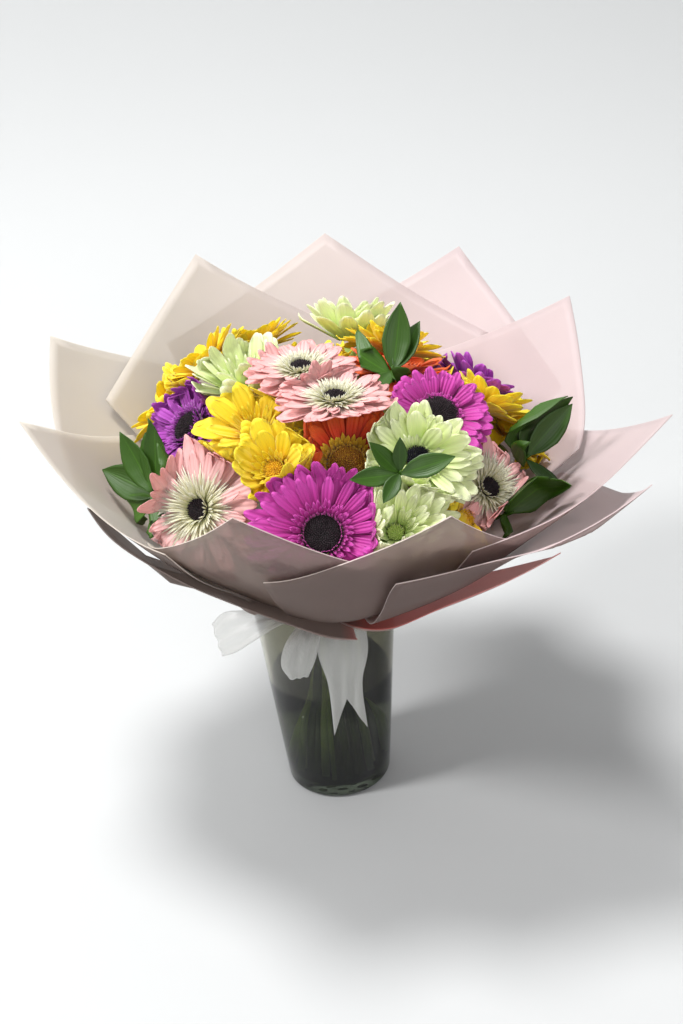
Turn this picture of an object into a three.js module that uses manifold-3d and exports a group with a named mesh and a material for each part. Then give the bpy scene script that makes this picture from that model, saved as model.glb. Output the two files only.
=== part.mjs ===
// Gerberas hand-tied in flower paper, standing in a tapered smoked glass vase of water.
// Millimetres, +Z up. The origin is the middle of the vase's underside, on the surface it stands on.
import * as THREE from 'three';
import { mergeVertices } from 'three/addons/utils/BufferGeometryUtils.js';
import Module from 'manifold-3d';

const wasm = await Module();
wasm.setup();

const DEG = Math.PI / 180;
const GAP = 0.3; // left between pieces that touch

// The vase: an outside cone on a thick floor, filled to the water line
const VASE = { height: 182, base: 44, rim: 59, wall: 3, floor: 12, edge: 5, water: 106, sides: 32 };

// The bouquet's own frame starts at the tie and leans a little to the right
const TIE = { x: 12, z: 190, lean: 3 * DEG, radius: 22, slots: 6.0 };

// Paper: thickness, spacing of the layers at the tie and how much it opens towards the rim
const PAPER = { thick: 0.8, pitch: 1.6, opening: 2.6, openBy: 220, half: 40, facet: 0.993 };

// Profile of the innermost paper, as height above the tie and radius: back and sides, then front
const FLARE_BACK = [
  [-24, 30], [-12, 25], [0, 22], [10, 31], [17, 44], [24, 64], [38, 98], [66, 140],
  [104, 178], [150, 221], [200, 266], [250, 311],
];
const FLARE_FRONT = [
  [-24, 30], [-12, 25], [0, 22], [9, 31], [14, 46], [18, 68], [22, 96], [45, 121],
  [85, 148], [130, 176], [180, 208], [235, 243],
];
const FRONT = { azimuth: 268 * DEG, half: 75 * DEG };
const TIE_ROW = 2;
const SHARED_ROWS = [0, 2, 3, 6, 7]; // rows of the profile where every sheet has an edge

// Sheets: name, azimuth of the corner, its distance up from the tie, layer, corner half angle, droop
const SHEETS = [
  ['paper_front_left', 250, 222, 0, 45, 0],
  ['paper_front_right', 290, 220, 1, 45, 0],
  ['paper_right_low', 322, 274, 3, 42, 16],
  ['paper_right', 339, 284, 2, 45, 0],
  ['paper_back_right', 34, 298, 0, 45, 0],
  ['paper_back_centre_right', 63, 331, 2, 45, 0],
  ['paper_back', 89, 337, 1, 50, 0],
  ['paper_back_centre_left', 115, 326, 0, 45, 0],
  ['paper_back_left', 153, 293, 2, 47, 0],
  ['paper_left', 185, 261, 1, 45, 0],
];

// Collars: two loose outer sheets that sag below the others.
// Stations of the fold: azimuth, radius, height above the tie, height of the upturned side
const COLLAR_TILT = -0.25; // how far the upturned side leans out
const COLLAR_LEFT = {
  layer: 5, sag: 1.5,
  stations: [
    [278, 86, -5, 4], [264, 92, 2, 14], [250, 107, 20, 22], [236, 122, 36, 22], [222, 142, 53, 17],
    [209, 170, 78, 12], [198, 184, 96, 6],
  ],
};
const COLLAR_RIGHT = {
  layer: 4, sag: 4,
  stations: [
    [263, 70, 9, 3], [276, 86, 6, 9], [290, 100, 8, 11], [304, 122, 27, 17], [318, 158, 51, 14],
    [327, 181, 66, 8],
  ],
};

// Kinds of bloom: rows of petals as [count, width, lift, curl, share of the radius], then the
// hub, the disc on it as a piece of its own, or a centre raised from the hub
const KINDS = {
  fine: { rows: [[11, 13, 8, -0.005, 1], [7, 12, 26, -0.004, 0.8]], hub: 11, disc: 9 },
  eyed: {
    rows: [[10, 14, 8, -0.006, 1], [6, 14, 22, -0.005, 0.82], [8, 7, 34, -0.01, 0.46]],
    hub: 11.5, disc: 8.2,
  },
  wide: { rows: [[11, 15, 8, -0.004, 1], [8, 14, 26, -0.004, 0.84]], hub: 15.5, disc: 13.4 },
  broad: { rows: [[9, 18, 12, -0.005, 1], [5, 17, 34, -0.004, 0.8]], hub: 9.5, relief: 7 },
  cupped: { rows: [[9, 18, 34, 0.0, 1], [5, 16, 54, 0.002, 0.78]], hub: 9.5, relief: 7 },
  back: { rows: [[8, 19, 14, -0.005, 1], [5, 16, 36, -0.004, 0.78]], hub: 9.5, cone: 5 },
  double: {
    rows: [[11, 13, 10, -0.004, 1], [8, 12, 30, 0.0, 0.8], [5, 11, 52, 0.0, 0.6]],
    hub: 10, relief: 6,
  },
};

// Each row of petals stands this much above the one below, on a hub this much narrower
const ROW = { rise: 2.2, narrower: 1.4, root: 2.8, first: -1 };

const PINK = 0xecaaa6;
const MAGENTA = 0xac22a4;
const PURPLE = 0x9f3cac;
const YELLOW = 0xf4cf12;
const GREEN = 0xdcefa6;
const ORANGE = 0xc73a08;
const DARK = 0x2b1a22;
const LEAF = 0x2f6b1f;
const STEM = 0x4a5c24;
const PAPER_TAUPE = 0x85766e;
const ORGANZA = 0xd8d8d6;
const GLASS = 0x5f5d4e;
const WATER = 0x59604f;

// Blooms: name, kind, place of the centre, facing, radius, colour, disc colour
const BLOOMS = [
  ['yellow_back_left', 'back', [-38, 94, 355], [-0.2, 0.35, 0.92], 44, YELLOW],
  ['yellow_far_left', 'back', [-73, 52, 358], [-0.6, 0.15, 0.75], 42, YELLOW],
  ['green_cup', 'cupped', [-42, 6, 356], [-0.15, -0.15, 0.97], 46, GREEN],
  ['yellow_left', 'broad', [-108, 62, 322], [-0.8, 0.1, 0.55], 42, YELLOW],
  ['purple_left', 'wide', [-87, 0, 329], [-0.62, -0.38, 0.68], 50, PURPLE, DARK],
  ['yellow_cup', 'cupped', [-31, -54, 344], [-0.1, -0.4, 0.91], 48, YELLOW],
  ['yellow_low', 'broad', [-28, -104, 330], [-0.45, -0.7, 0.5], 44, YELLOW],
  ['pink_left', 'eyed', [-77, -86, 304], [-0.45, -0.72, 0.5], 51, PINK, DARK],
  ['pink_top', 'eyed', [-1, -28, 381], [-0.08, 0.08, 0.99], 43, PINK, DARK],
  ['pink_middle', 'eyed', [21, -76, 369], [0.05, -0.05, 1.0], 43, PINK, DARK],
  ['green_back', 'cupped', [40, 104, 354], [0.1, 0.3, 0.95], 46, GREEN],
  ['orange_front', 'wide', [24, -94, 330], [0.0, -0.55, 0.83], 50, ORANGE, 0x8a6a10],
  ['magenta_front', 'wide', [13, -142, 306], [0.0, -0.78, 0.62], 52, MAGENTA, DARK],
  ['green_front', 'double', [61, -130, 292], [-0.1, -0.6, 0.78], 46, GREEN],
  ['green_right', 'fine', [76, -104, 341], [0.2, -0.7, 0.68], 50, GREEN, 0x10101e],
  ['magenta_right', 'wide', [96, -52, 346], [0.45, -0.35, 0.82], 48, MAGENTA, DARK],
  ['yellow_right', 'broad', [134, 0, 325], [0.5, 0.3, 0.81], 44, YELLOW],
  ['orange_back', 'broad', [72, 12, 351], [0.28, 0.25, 0.92], 44, ORANGE],
  ['yellow_middle', 'back', [6, 42, 352], [-0.05, 0.2, 0.98], 42, YELLOW],
  ['pink_right', 'eyed', [129, -46, 287], [0.72, -0.35, 0.6], 49, PINK, DARK],
  ['yellow_low_right', 'broad', [104, -92, 289], [0.45, -0.75, 0.48], 45, YELLOW],
  ['yellow_far_right', 'back', [157, 24, 287], [0.7, 0.08, 0.7], 40, YELLOW],
  ['yellow_back', 'back', [70, 60, 354], [0.3, 0.4, 0.87], 44, YELLOW],
  ['purple_back_right', 'back', [132, 58, 317], [0.6, 0.4, 0.7], 44, PURPLE],
  ['yellow_rear', 'back', [-20, 126, 299], [-0.3, 0.8, 0.52], 44, YELLOW],
  ['green_rear', 'back', [44, 132, 294], [0.2, 0.8, 0.56], 44, GREEN],
  ['orange_rear', 'back', [101, 106, 297], [0.65, 0.6, 0.46], 44, ORANGE],
];

// Where one bloom's petals lie over a neighbour's: the upper, the lower, how far it reaches over
const LEADS = [
  ['pink_left', 'yellow_low', 8], ['orange_front', 'pink_middle', 6], ['magenta_right', 'green_right', 8],
  ['pink_right', 'green_right', 6], ['pink_right', 'yellow_low_right', 6], ['pink_left', 'purple_left', 4],
];

// Leafy sprays: name, centre, facing, then each leaf as angle round the centre, lift and length
const SPRAYS = [
  ['leaves_left', [-119, -46, 303], [-0.5, -0.6, 0.62],
    [[170, 8, 52], [215, -4, 50], [20, 20, 48], [95, 26, 52], [130, 30, 44], [60, 40, 40]]],
  ['leaves_centre', [60, -148, 348], [0.1, -0.8, 0.6],
    [[10, 14, 46], [185, 10, 40], [135, 30, 34], [85, 36, 26], [230, 22, 28]]],
  ['leaves_top', [67, -14, 368], [0.0, -0.4, 0.92],
    [[150, 30, 52], [75, 48, 52], [50, 36, 42], [235, 16, 38], [290, 26, 34]]],
  ['leaves_right', [161, -22, 292], [0.64, -0.42, 0.66],
    [[78, 31, 62], [163, 36, 44], [30, 14, 58], [246, 26, 44]]],
  ['leaves_low_right', [140, -62, 266], [0.6, -0.6, 0.52],
    [[15, 14, 62], [205, 30, 36], [100, 24, 40]]],
];

// Small helpers

// Repeatable random numbers from 0 to 1
function draws(seed) {
  let a = seed >>> 0;
  return () => {
    a = (a + 0x6d2b79f5) >>> 0;
    let t = Math.imul(a ^ (a >>> 15), 1 | a);
    t = (t + Math.imul(t ^ (t >>> 7), 61 | t)) ^ t;
    return ((t ^ (t >>> 14)) >>> 0) / 4294967296;
  };
}

const vec = (x, y, z) => new THREE.Vector3(x, y, z);
const mix = (a, b, t) => a + (b - a) * t;
const smooth = (t) => t * t * (3 - 2 * t);
const clamp = (t, low, high) => Math.min(high, Math.max(low, t));

const bouquet = new THREE.Matrix4().makeRotationY(TIE.lean).setPosition(TIE.x, 0, TIE.z);
const bouquetBack = bouquet.clone().invert();

// Closed mesh from rings of equal count, or single points, running from one end to the other
function ringed(rings) {
  const points = [];
  const starts = rings.map((ring) => {
    const start = points.length / 3;
    ring.forEach((p) => points.push(p.x, p.y, p.z));
    return start;
  });
  const faces = [];
  const cap = (start, count, turned) => {
    for (let i = 1; i < count - 1; i++) {
      faces.push(start, turned ? start + i + 1 : start + i, turned ? start + i : start + i + 1);
    }
  };
  cap(starts[0], rings[0].length, true);
  for (let k = 0; k < rings.length - 1; k++) {
    const n = Math.max(rings[k].length, rings[k + 1].length);
    const low = (i) => starts[k] + (rings[k].length === 1 ? 0 : i % n);
    const high = (i) => starts[k + 1] + (rings[k + 1].length === 1 ? 0 : i % n);
    for (let i = 0; i < n; i++) {
      if (rings[k].length > 1) faces.push(low(i), low(i + 1), high(i + 1));
      if (rings[k + 1].length > 1) faces.push(low(i), high(i + 1), high(i));
    }
  }
  cap(starts[rings.length - 1], rings[rings.length - 1].length, false);
  return meshData(points, faces);
}

// Indexed geometry with its faces outwards
function meshData(points, faces) {
  let volume = 0;
  const p = (i) => vec(points[3 * i], points[3 * i + 1], points[3 * i + 2]);
  for (let i = 0; i < faces.length; i += 3) {
    volume += p(faces[i]).dot(p(faces[i + 1]).cross(p(faces[i + 2])));
  }
  const ordered = volume < 0 ? faces.slice().reverse() : faces;
  const geometry = new THREE.BufferGeometry();
  geometry.setAttribute('position', new THREE.Float32BufferAttribute(points, 3));
  geometry.setIndex(ordered);
  return geometry;
}

function toSolid(geometry) {
  const bare = geometry.clone();
  bare.deleteAttribute('normal');
  bare.deleteAttribute('uv');
  const merged = mergeVertices(bare, 1e-4);
  return new wasm.Manifold(new wasm.Mesh({
    numProp: 3,
    vertProperties: new Float32Array(merged.attributes.position.array),
    triVerts: new Uint32Array(merged.index.array),
  }));
}

function fromSolid(solid) {
  const mesh = solid.getMesh();
  const geometry = new THREE.BufferGeometry();
  geometry.setAttribute('position', new THREE.BufferAttribute(new Float32Array(mesh.vertProperties), 3));
  geometry.setIndex(new THREE.BufferAttribute(new Uint32Array(mesh.triVerts), 1));
  return geometry;
}

// Everything in the list joined into one body, without loose scraps
function fuse(geometries) {
  let solid = toSolid(geometries[0]);
  geometries.slice(1).forEach((g) => { solid = solid.add(toSolid(g)); });
  const bodies = solid.decompose().sort((a, b) => b.volume() - a.volume());
  return fromSolid(bodies[0]);
}

function frameOf(facing, turn) {
  const axis = vec(...facing).normalize();
  const side = vec(0, 0, 1).cross(axis);
  if (side.lengthSq() < 1e-4) side.set(1, 0, 0);
  side.normalize();
  const up = axis.clone().cross(side);
  const c = Math.cos(turn);
  const s = Math.sin(turn);
  return {
    axis,
    u: side.clone().multiplyScalar(c).addScaledVector(up, s),
    v: up.clone().multiplyScalar(c).addScaledVector(side, -s),
  };
}

function local(centre, f, x, y, z) {
  return centre.clone().addScaledVector(f.u, x).addScaledVector(f.v, y).addScaledVector(f.axis, z);
}

// The paper's surface

// Radius and height of the innermost paper at a row of the profile, and its outward direction
function flare(row, azimuth) {
  const full = 2 * Math.PI;
  const turned = ((azimuth - FRONT.azimuth + Math.PI) % full + full) % full;
  const away = Math.abs(turned - Math.PI);
  const front = smooth(clamp(1 - away / FRONT.half, 0, 1));
  const at = (k) => [
    mix(FLARE_BACK[k][0], FLARE_FRONT[k][0], front),
    mix(FLARE_BACK[k][1], FLARE_FRONT[k][1], front),
  ];
  const last = FLARE_BACK.length - 1;
  const k = clamp(Math.floor(row), 0, last - 1);
  const t = row - k;
  const a = at(k);
  const b = at(k + 1);
  const slope = (p, q) => {
    const d = [q[0] - p[0], q[1] - p[1]];
    const l = Math.hypot(...d);
    return [d[0] / l, d[1] / l];
  };
  const here = slope(a, b);
  const before = slope(at(Math.max(k - 1, 0)), at(Math.max(k - 1, 0) + 1));
  const after = slope(at(Math.min(k + 1, last - 1)), at(Math.min(k + 1, last - 1) + 1));
  const start = [before[0] + here[0], before[1] + here[1]];
  const end = [after[0] + here[0], after[1] + here[1]];
  const along = [mix(start[0], end[0], t), mix(start[1], end[1], t)];
  const l = Math.hypot(...along);
  return {
    h: mix(a[0], b[0], t),
    r: mix(a[1], b[1], t),
    outH: -along[1] / l,
    outR: along[0] / l,
  };
}

// Distance along the paper from the tie to each row
function rowDistances(azimuth) {
  const rows = FLARE_BACK.map((_, k) => flare(k, azimuth));
  const sums = [0];
  for (let k = 1; k < rows.length; k++) {
    sums.push(sums[k - 1] + Math.hypot(rows[k].h - rows[k - 1].h, rows[k].r - rows[k - 1].r));
  }
  return sums.map((s) => s - sums[TIE_ROW]);
}

function rowAt(distance, azimuth) {
  const sums = rowDistances(azimuth);
  let k = 0;
  while (k < sums.length - 2 && sums[k + 1] < distance) k++;
  return k + (distance - sums[k]) / (sums[k + 1] - sums[k]);
}

function paperPoint(row, azimuth, layer, lift, droop) {
  const f = flare(row, azimuth);
  const far = clamp(rowDistances(azimuth)[Math.floor(row)] / PAPER.openBy, 0, 1);
  const sag = droop * clamp((far - 0.62) / 0.38, 0, 1) ** 2;
  const out = layer * (PAPER.pitch + PAPER.opening * far) + lift + sag;
  const r = f.r + f.outR * out;
  return vec(r * Math.cos(azimuth), r * Math.sin(azimuth), f.h + f.outH * out).applyMatrix4(bouquet);
}

// How far a point lies outside the innermost paper, less a margin
function beyondPaper(point, margin) {
  const p = point.clone().applyMatrix4(bouquetBack);
  const azimuth = Math.atan2(p.y, p.x);
  let k = TIE_ROW;
  while (k < FLARE_BACK.length - 2 && flare(k + 1, azimuth).h < p.z) k++;
  const a = flare(k, azimuth);
  const b = flare(k + 1, azimuth);
  const r = mix(a.r, b.r, (p.z - a.h) / (b.h - a.h));
  return Math.hypot(p.x, p.y) - (r * PAPER.facet - margin * 1.4);
}

// Two skins of a grid of points, closed round the edge
function skinned(inner, outer) {
  const rows = inner.length;
  const columns = inner[0].length;
  const points = [];
  [inner, outer].forEach((skin) => skin.forEach((row) => row.forEach((p) => points.push(p.x, p.y, p.z))));
  const at = (skin, i, j) => (skin * rows + i) * columns + j;
  const faces = [];
  for (let i = 0; i < rows - 1; i++) {
    for (let j = 0; j < columns - 1; j++) {
      faces.push(at(0, i, j), at(0, i, j + 1), at(0, i + 1, j + 1));
      faces.push(at(0, i, j), at(0, i + 1, j + 1), at(0, i + 1, j));
      faces.push(at(1, i, j), at(1, i + 1, j + 1), at(1, i, j + 1));
      faces.push(at(1, i, j), at(1, i + 1, j), at(1, i + 1, j + 1));
    }
  }
  const wall = (a, b) => {
    faces.push(at(0, ...a), at(1, ...b), at(0, ...b));
    faces.push(at(0, ...a), at(1, ...a), at(1, ...b));
  };
  for (let j = 0; j < columns - 1; j++) {
    wall([0, j], [0, j + 1]);
    wall([rows - 1, j + 1], [rows - 1, j]);
  }
  for (let i = 0; i < rows - 1; i++) {
    wall([i + 1, 0], [i, 0]);
    wall([i, columns - 1], [i + 1, columns - 1]);
  }
  return meshData(points, faces);
}

// A square sheet with a corner up, gathered at the tie. Its edges are straight on the unrolled cone
function sheet([, corner, reach, layer, angle, droop]) {
  const columns = 6;
  const middle = corner * DEG;
  const tip = flare(rowAt(reach, middle), middle);
  const below = flare(rowAt(reach - 100, middle), middle);
  const cone = (tip.r - below.r) / 100;
  const apex = tip.r / cone - reach;
  const alpha = angle * DEG;
  const grids = [0, PAPER.thick].map((lift) => {
    const columnsOf = [];
    for (let j = 0; j <= columns; j++) {
      const offset = mix(-PAPER.half, PAPER.half, j / columns) * DEG;
      const turn = Math.abs(offset) * cone;
      const edge = (reach + apex) * Math.sin(alpha) / Math.sin(alpha + turn) - apex;
      const azimuth = middle + offset;
      const top = rowAt(edge, azimuth);
      const last = SHARED_ROWS[SHARED_ROWS.length - 1];
      const rows = [...SHARED_ROWS, mix(last, top, 0.5), top];
      columnsOf.push(rows.map((row) => paperPoint(row, azimuth, layer, lift, droop)));
    }
    return columnsOf[0].map((_, i) => columnsOf.map((column) => column[i]));
  });
  return skinned(grids[0], grids[1]);
}

// A loose outer sheet: from the tie out beneath the others to a low fold, then up along the bouquet
function collar({ layer, sag, stations }) {
  const grids = [0, PAPER.thick].map((lift) => {
    const rows = [[], [], [], [], [], []];
    stations.forEach(([degrees, r, h, side]) => {
      const a = degrees * DEG;
      const place = (radius, height) => (
        vec(radius * Math.cos(a), radius * Math.sin(a), height).applyMatrix4(bouquet));
      const under = (row) => {
        const f = flare(row, a);
        const far = clamp(rowDistances(a)[row] / PAPER.openBy, 0, 1);
        const out = layer * (PAPER.pitch + PAPER.opening * far) + lift;
        return [f.r + f.outR * out, f.h + f.outH * out];
      };
      const root = under(3);
      rows[0].push(place(...under(TIE_ROW)));
      rows[1].push(place(...root));
      [6, 7].forEach((row, i) => {
        let [pr, ph] = under(row);
        const share = [0.5, 0.76][i];
        if (pr > r - 12 * (2 - i)) [pr, ph] = [mix(root[0], r, share), 1e3];
        const chord = mix(root[1], h, (pr - root[0]) / (r - root[0])) - sag * clamp((r - 70) / 50, 0.2, 1);
        rows[2 + i].push(place(pr, Math.min(chord - 0.8 * lift, ph - 1.5)));
      });
      rows[4].push(place(r + 0.6 * lift, h - 0.8 * lift));
      const up = flare(rowAt(110, a), a);
      const rise = [
        -up.outH * Math.cos(COLLAR_TILT) + up.outR * Math.sin(COLLAR_TILT),
        up.outR * Math.cos(COLLAR_TILT) + up.outH * Math.sin(COLLAR_TILT),
      ];
      rows[5].push(place(r + side * rise[0] + lift * rise[1], h + side * rise[1] - lift * rise[0]));
    });
    return rows;
  });
  return skinned(grids[0], grids[1]);
}

// The stems: each passes the tie in its own slot, spreads in the vase and rises to its bloom

// Slots on a hexagonal grid, from the middle outwards
function tieSlots(count) {
  const slots = [];
  for (let a = -4; a <= 4; a++) {
    for (let b = -4; b <= 4; b++) {
      slots.push([TIE.slots * (a + b / 2), TIE.slots * b * Math.sqrt(3) / 2]);
    }
  }
  const size = ([x, y]) => Math.hypot(x, y) + 1e-3 * Math.atan2(y, x);
  return slots.sort((p, q) => size(p) - size(q)).slice(0, count);
}

// Each thing gets the free slot that lies nearest its own direction, inner things first
function assignSlots(things) {
  const free = tieSlots(things.length);
  const wanted = things.map((thing, i) => {
    const p = thing.centre.clone().applyMatrix4(bouquetBack);
    return { i, x: p.x, y: p.y, size: Math.hypot(p.x, p.y) };
  }).sort((a, b) => a.size - b.size);
  const rings = [1, 6, 12, 18];
  let taken = 0;
  rings.forEach((ring) => {
    const group = wanted.slice(taken, taken + ring);
    const slots = free.slice(taken, taken + ring);
    taken += ring;
    group.sort((a, b) => Math.atan2(a.y, a.x) - Math.atan2(b.y, b.x));
    group.forEach((want) => {
      const cost = ([x, y]) => Math.hypot(x - want.x / want.size * 15, y - want.y / want.size * 15);
      slots.sort((p, q) => cost(p) - cost(q));
      things[want.i].slot = slots.shift();
    });
  });
}

const FOOT = { twist: 62 * DEG, spread: 1.75, bottom: VASE.floor + GAP };

function footOf([x, y]) {
  const c = Math.cos(FOOT.twist) * FOOT.spread;
  const s = Math.sin(FOOT.twist) * FOOT.spread;
  return vec(x * c - y * s, x * s + y * c, FOOT.bottom);
}

function slotPoint([x, y]) {
  return vec(x, y, 0).applyMatrix4(bouquet);
}

// Centre line of the part of a stem above the tie
function rise(thing) {
  const start = slotPoint(thing.slot);
  const foot = footOf(thing.slot);
  const axis = thing.frame.axis;
  const end = thing.centre.clone().addScaledVector(axis, -thing.neck);
  const leave = start.clone().sub(foot).normalize();
  const out = vec(end.x - start.x, end.y - start.y, 0).multiplyScalar(0.12);
  const reach = start.distanceTo(end);
  return new THREE.CubicBezierCurve3(
    start,
    start.clone().addScaledVector(leave, reach * 0.2).add(out),
    end.clone().addScaledVector(axis, -reach * 0.32),
    end,
  );
}

const STEM_SIDES = 5;

function levelRing(centre, radius) {
  return Array.from({ length: STEM_SIDES }, (_, i) => {
    const a = (i + 0.5) / STEM_SIDES * 2 * Math.PI;
    return centre.clone().add(vec(radius * Math.cos(a), radius * Math.sin(a), 0));
  });
}

// A ring square to a direction, its first corner kept in line with the level rings
function tiltedRing(centre, direction, radius) {
  const q = new THREE.Quaternion().setFromUnitVectors(vec(0, 0, 1), direction);
  return levelRing(vec(0, 0, 0), radius).map((p) => p.applyQuaternion(q).add(centre));
}

function stem(thing) {
  const { radius, top, slot } = thing.stem;
  const line = rise(thing);
  const rings = [levelRing(footOf(thing.slot), radius), levelRing(slotPoint(thing.slot), slot)];
  const stations = thing.stem.cup ? [0.4, 0.88, 1] : [0.45, 1];
  stations.forEach((t, i) => {
    const wide = i === stations.length - 1 ? top : radius;
    rings.push(tiltedRing(line.getPoint(t), line.getTangent(t), wide));
  });
  return ringed(rings);
}

// A hole in the water for a stem: the same straight stretch, a little wider
function stemHole(thing) {
  const foot = footOf(thing.slot);
  const tie = slotPoint(thing.slot);
  const down = foot.clone().sub(tie).normalize().multiplyScalar(6);
  const low = foot.clone().add(down);
  const radius = thing.stem.radius + GAP + 0.05;
  return ringed([levelRing(low, radius), levelRing(tie, thing.stem.slot + GAP)]);
}

// Blooms

// How far the plane between two things is moved towards the second
function leadOf(name, other) {
  const over = LEADS.find(([upper, lower]) => upper === name && lower === other);
  const under = LEADS.find(([upper, lower]) => upper === other && lower === name);
  return (over?.[2] ?? 0) - (under?.[2] ?? 0);
}

// Limits for the petals or leaves of one thing: planes towards the others, their stems, the paper
function limitsOf(index, things) {
  const me = things[index];
  const flat = 2.1;
  const planes = [];
  const stems = [];
  things.forEach((other, k) => {
    if (k === index) return;
    const apart = other.centre.clone().sub(me.centre);
    const axis = me.frame.axis.clone().add(other.frame.axis).normalize();
    const normal = apart.clone().addScaledVector(axis, apart.dot(axis) * (flat - 1)).normalize();
    const share = me.radius / (me.radius + other.radius);
    const point = me.centre.clone().addScaledVector(apart, share);
    planes.push({ normal, limit: normal.dot(point) + leadOf(me.name, other.name) - 0.35 });
    stems.push({ points: rise(other).getPoints(10), radius: other.stem.radius + 0.8 });
  });
  return { planes, stems };
}

function nearStem(point, stems, reach) {
  const line = new THREE.Line3();
  const near = vec(0, 0, 0);
  return stems.some(({ points, radius }) => {
    for (let i = 0; i < points.length - 1; i++) {
      line.set(points[i], points[i + 1]);
      line.closestPointToPoint(point, true, near);
      if (near.distanceTo(point) < radius + reach) return true;
    }
    return false;
  });
}

// Pushes a point back inside the limits
function pushBack(point, limits, margin) {
  for (let pass = 0; pass < 6; pass++) {
    limits.planes.forEach(({ normal, limit }) => {
      const over = normal.dot(point) - limit + margin;
      if (over > 0) point.addScaledVector(normal, -over);
    });
    const over = beyondPaper(point, margin + 0.6);
    if (over > 0) {
      const p = point.clone().applyMatrix4(bouquetBack);
      const r = Math.hypot(p.x, p.y);
      p.x *= (r - over) / r;
      p.y *= (r - over) / r;
      point.copy(p.applyMatrix4(bouquet));
    }
  }
  return point;
}

// Centre line of a blade that starts along a direction and slides along what it meets
function blade(start, direction, up, length, curl, limits, half) {
  const steps = 12;
  const step = length / steps;
  const points = [start.clone()];
  const heading = direction.clone().normalize();
  for (let i = 0; i < steps; i++) {
    const from = points[points.length - 1];
    const next = pushBack(from.clone().addScaledVector(heading, step), limits, 0.8);
    const moved = next.clone().sub(from);
    if (moved.length() < step * 0.25) break;
    heading.copy(moved.normalize());
    const to = pushBack(from.clone().addScaledVector(heading, step), limits, 0.6);
    const bulge = half * Math.sin(Math.PI * Math.min(1, (i + 1) / steps));
    if (i > 1 && nearStem(to, limits.stems, bulge + 0.6)) break;
    points.push(to);
    heading.addScaledVector(up, curl * step).normalize();
  }
  return points;
}

// Point and directions of a blade at a share of its length
function station(points, side, t) {
  const f = t * (points.length - 1);
  const k = Math.min(points.length - 2, Math.floor(f));
  const ahead = points[k + 1].clone().sub(points[k]).normalize();
  const across = side.clone().addScaledVector(ahead, -side.dot(ahead)).normalize();
  return { centre: points[k].clone().lerp(points[k + 1], f - k), across, down: across.clone().cross(ahead) };
}

// Left edge, keel and right edge of a blade at a share of its length
function crossSection(points, side, t, width, keel, limits) {
  const { centre, across, down } = station(points, side, t);
  const section = [
    pushBack(centre.clone().addScaledVector(across, -width / 2), limits, 0.1),
    pushBack(centre.clone().addScaledVector(down, keel), limits, 0.1),
    pushBack(centre.clone().addScaledVector(across, width / 2), limits, 0.1),
  ];
  section.ahead = across.clone().cross(down);
  return section;
}

// Whether a squeezed cross-section is still wide and deep enough, keel down, to be a blade
function hasBody(section) {
  const [left, keel, right] = section;
  const width = left.distanceTo(right);
  const deep = right.clone().sub(left).cross(keel.clone().sub(left)).dot(section.ahead) / width;
  return width > 4 && deep > 0.7;
}

const KEEL = 1.5;
const LEAF_SHAPE = [[0, 0.12], [0.42, 1], [0.76, 0.62]];

// Cross-sections of a leaf along a line, flat on top, with a keel beneath
function leafSections(points, side, width, limits) {
  return LEAF_SHAPE.map(([t, w]) => crossSection(points, side, t, w * width, KEEL * 0.9, limits));
}

// A leaf along a line, cut back from the tip until every cross-section is sound
function leafBody(line, side, width, limits) {
  for (let count = line.length; count > 5; count--) {
    const points = line.slice(0, count);
    const sections = leafSections(points, side, width, limits);
    if (sections.slice(1).every(hasBody)) return ringed([...sections, [points[count - 1]]]);
  }
  return null;
}

// A round body of rings as [radius, height], with an optional rise and fall from point to point
function turned(thing, rings, count, waves = 0) {
  return ringed(rings.map(([radius, height], k) => {
    if (radius === 0) return [local(thing.centre, thing.frame, 0, 0, height)];
    return Array.from({ length: count }, (_, i) => {
      const a = (i + 0.5 * (k % 2)) / count * 2 * Math.PI;
      const wave = waves * ((i + k) % 2 ? 1 : -1);
      return local(thing.centre, thing.frame, radius * Math.cos(a), radius * Math.sin(a), height + wave);
    });
  }));
}

// The eye of the bloom: a low dome with its florets as relief
function disc(thing, radius, floor, count = 10) {
  const rise = radius * 0.3;
  return turned(thing, [
    [radius * 0.9, floor], [radius, floor + 1.4], [radius * 0.55, floor + rise + 0.7],
    [0, floor + rise + 0.3],
  ], count, 0.3);
}

// The planes between one petal and its neighbours in the row
function sectorPlanes(thing, angle, half) {
  return [1, -1].map((sign) => {
    const a = angle + sign * half;
    const normal = thing.frame.u.clone().multiplyScalar(-sign * Math.sin(a));
    normal.addScaledVector(thing.frame.v, sign * Math.cos(a));
    return { normal, limit: normal.dot(thing.centre) - 0.05 };
  });
}

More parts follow.
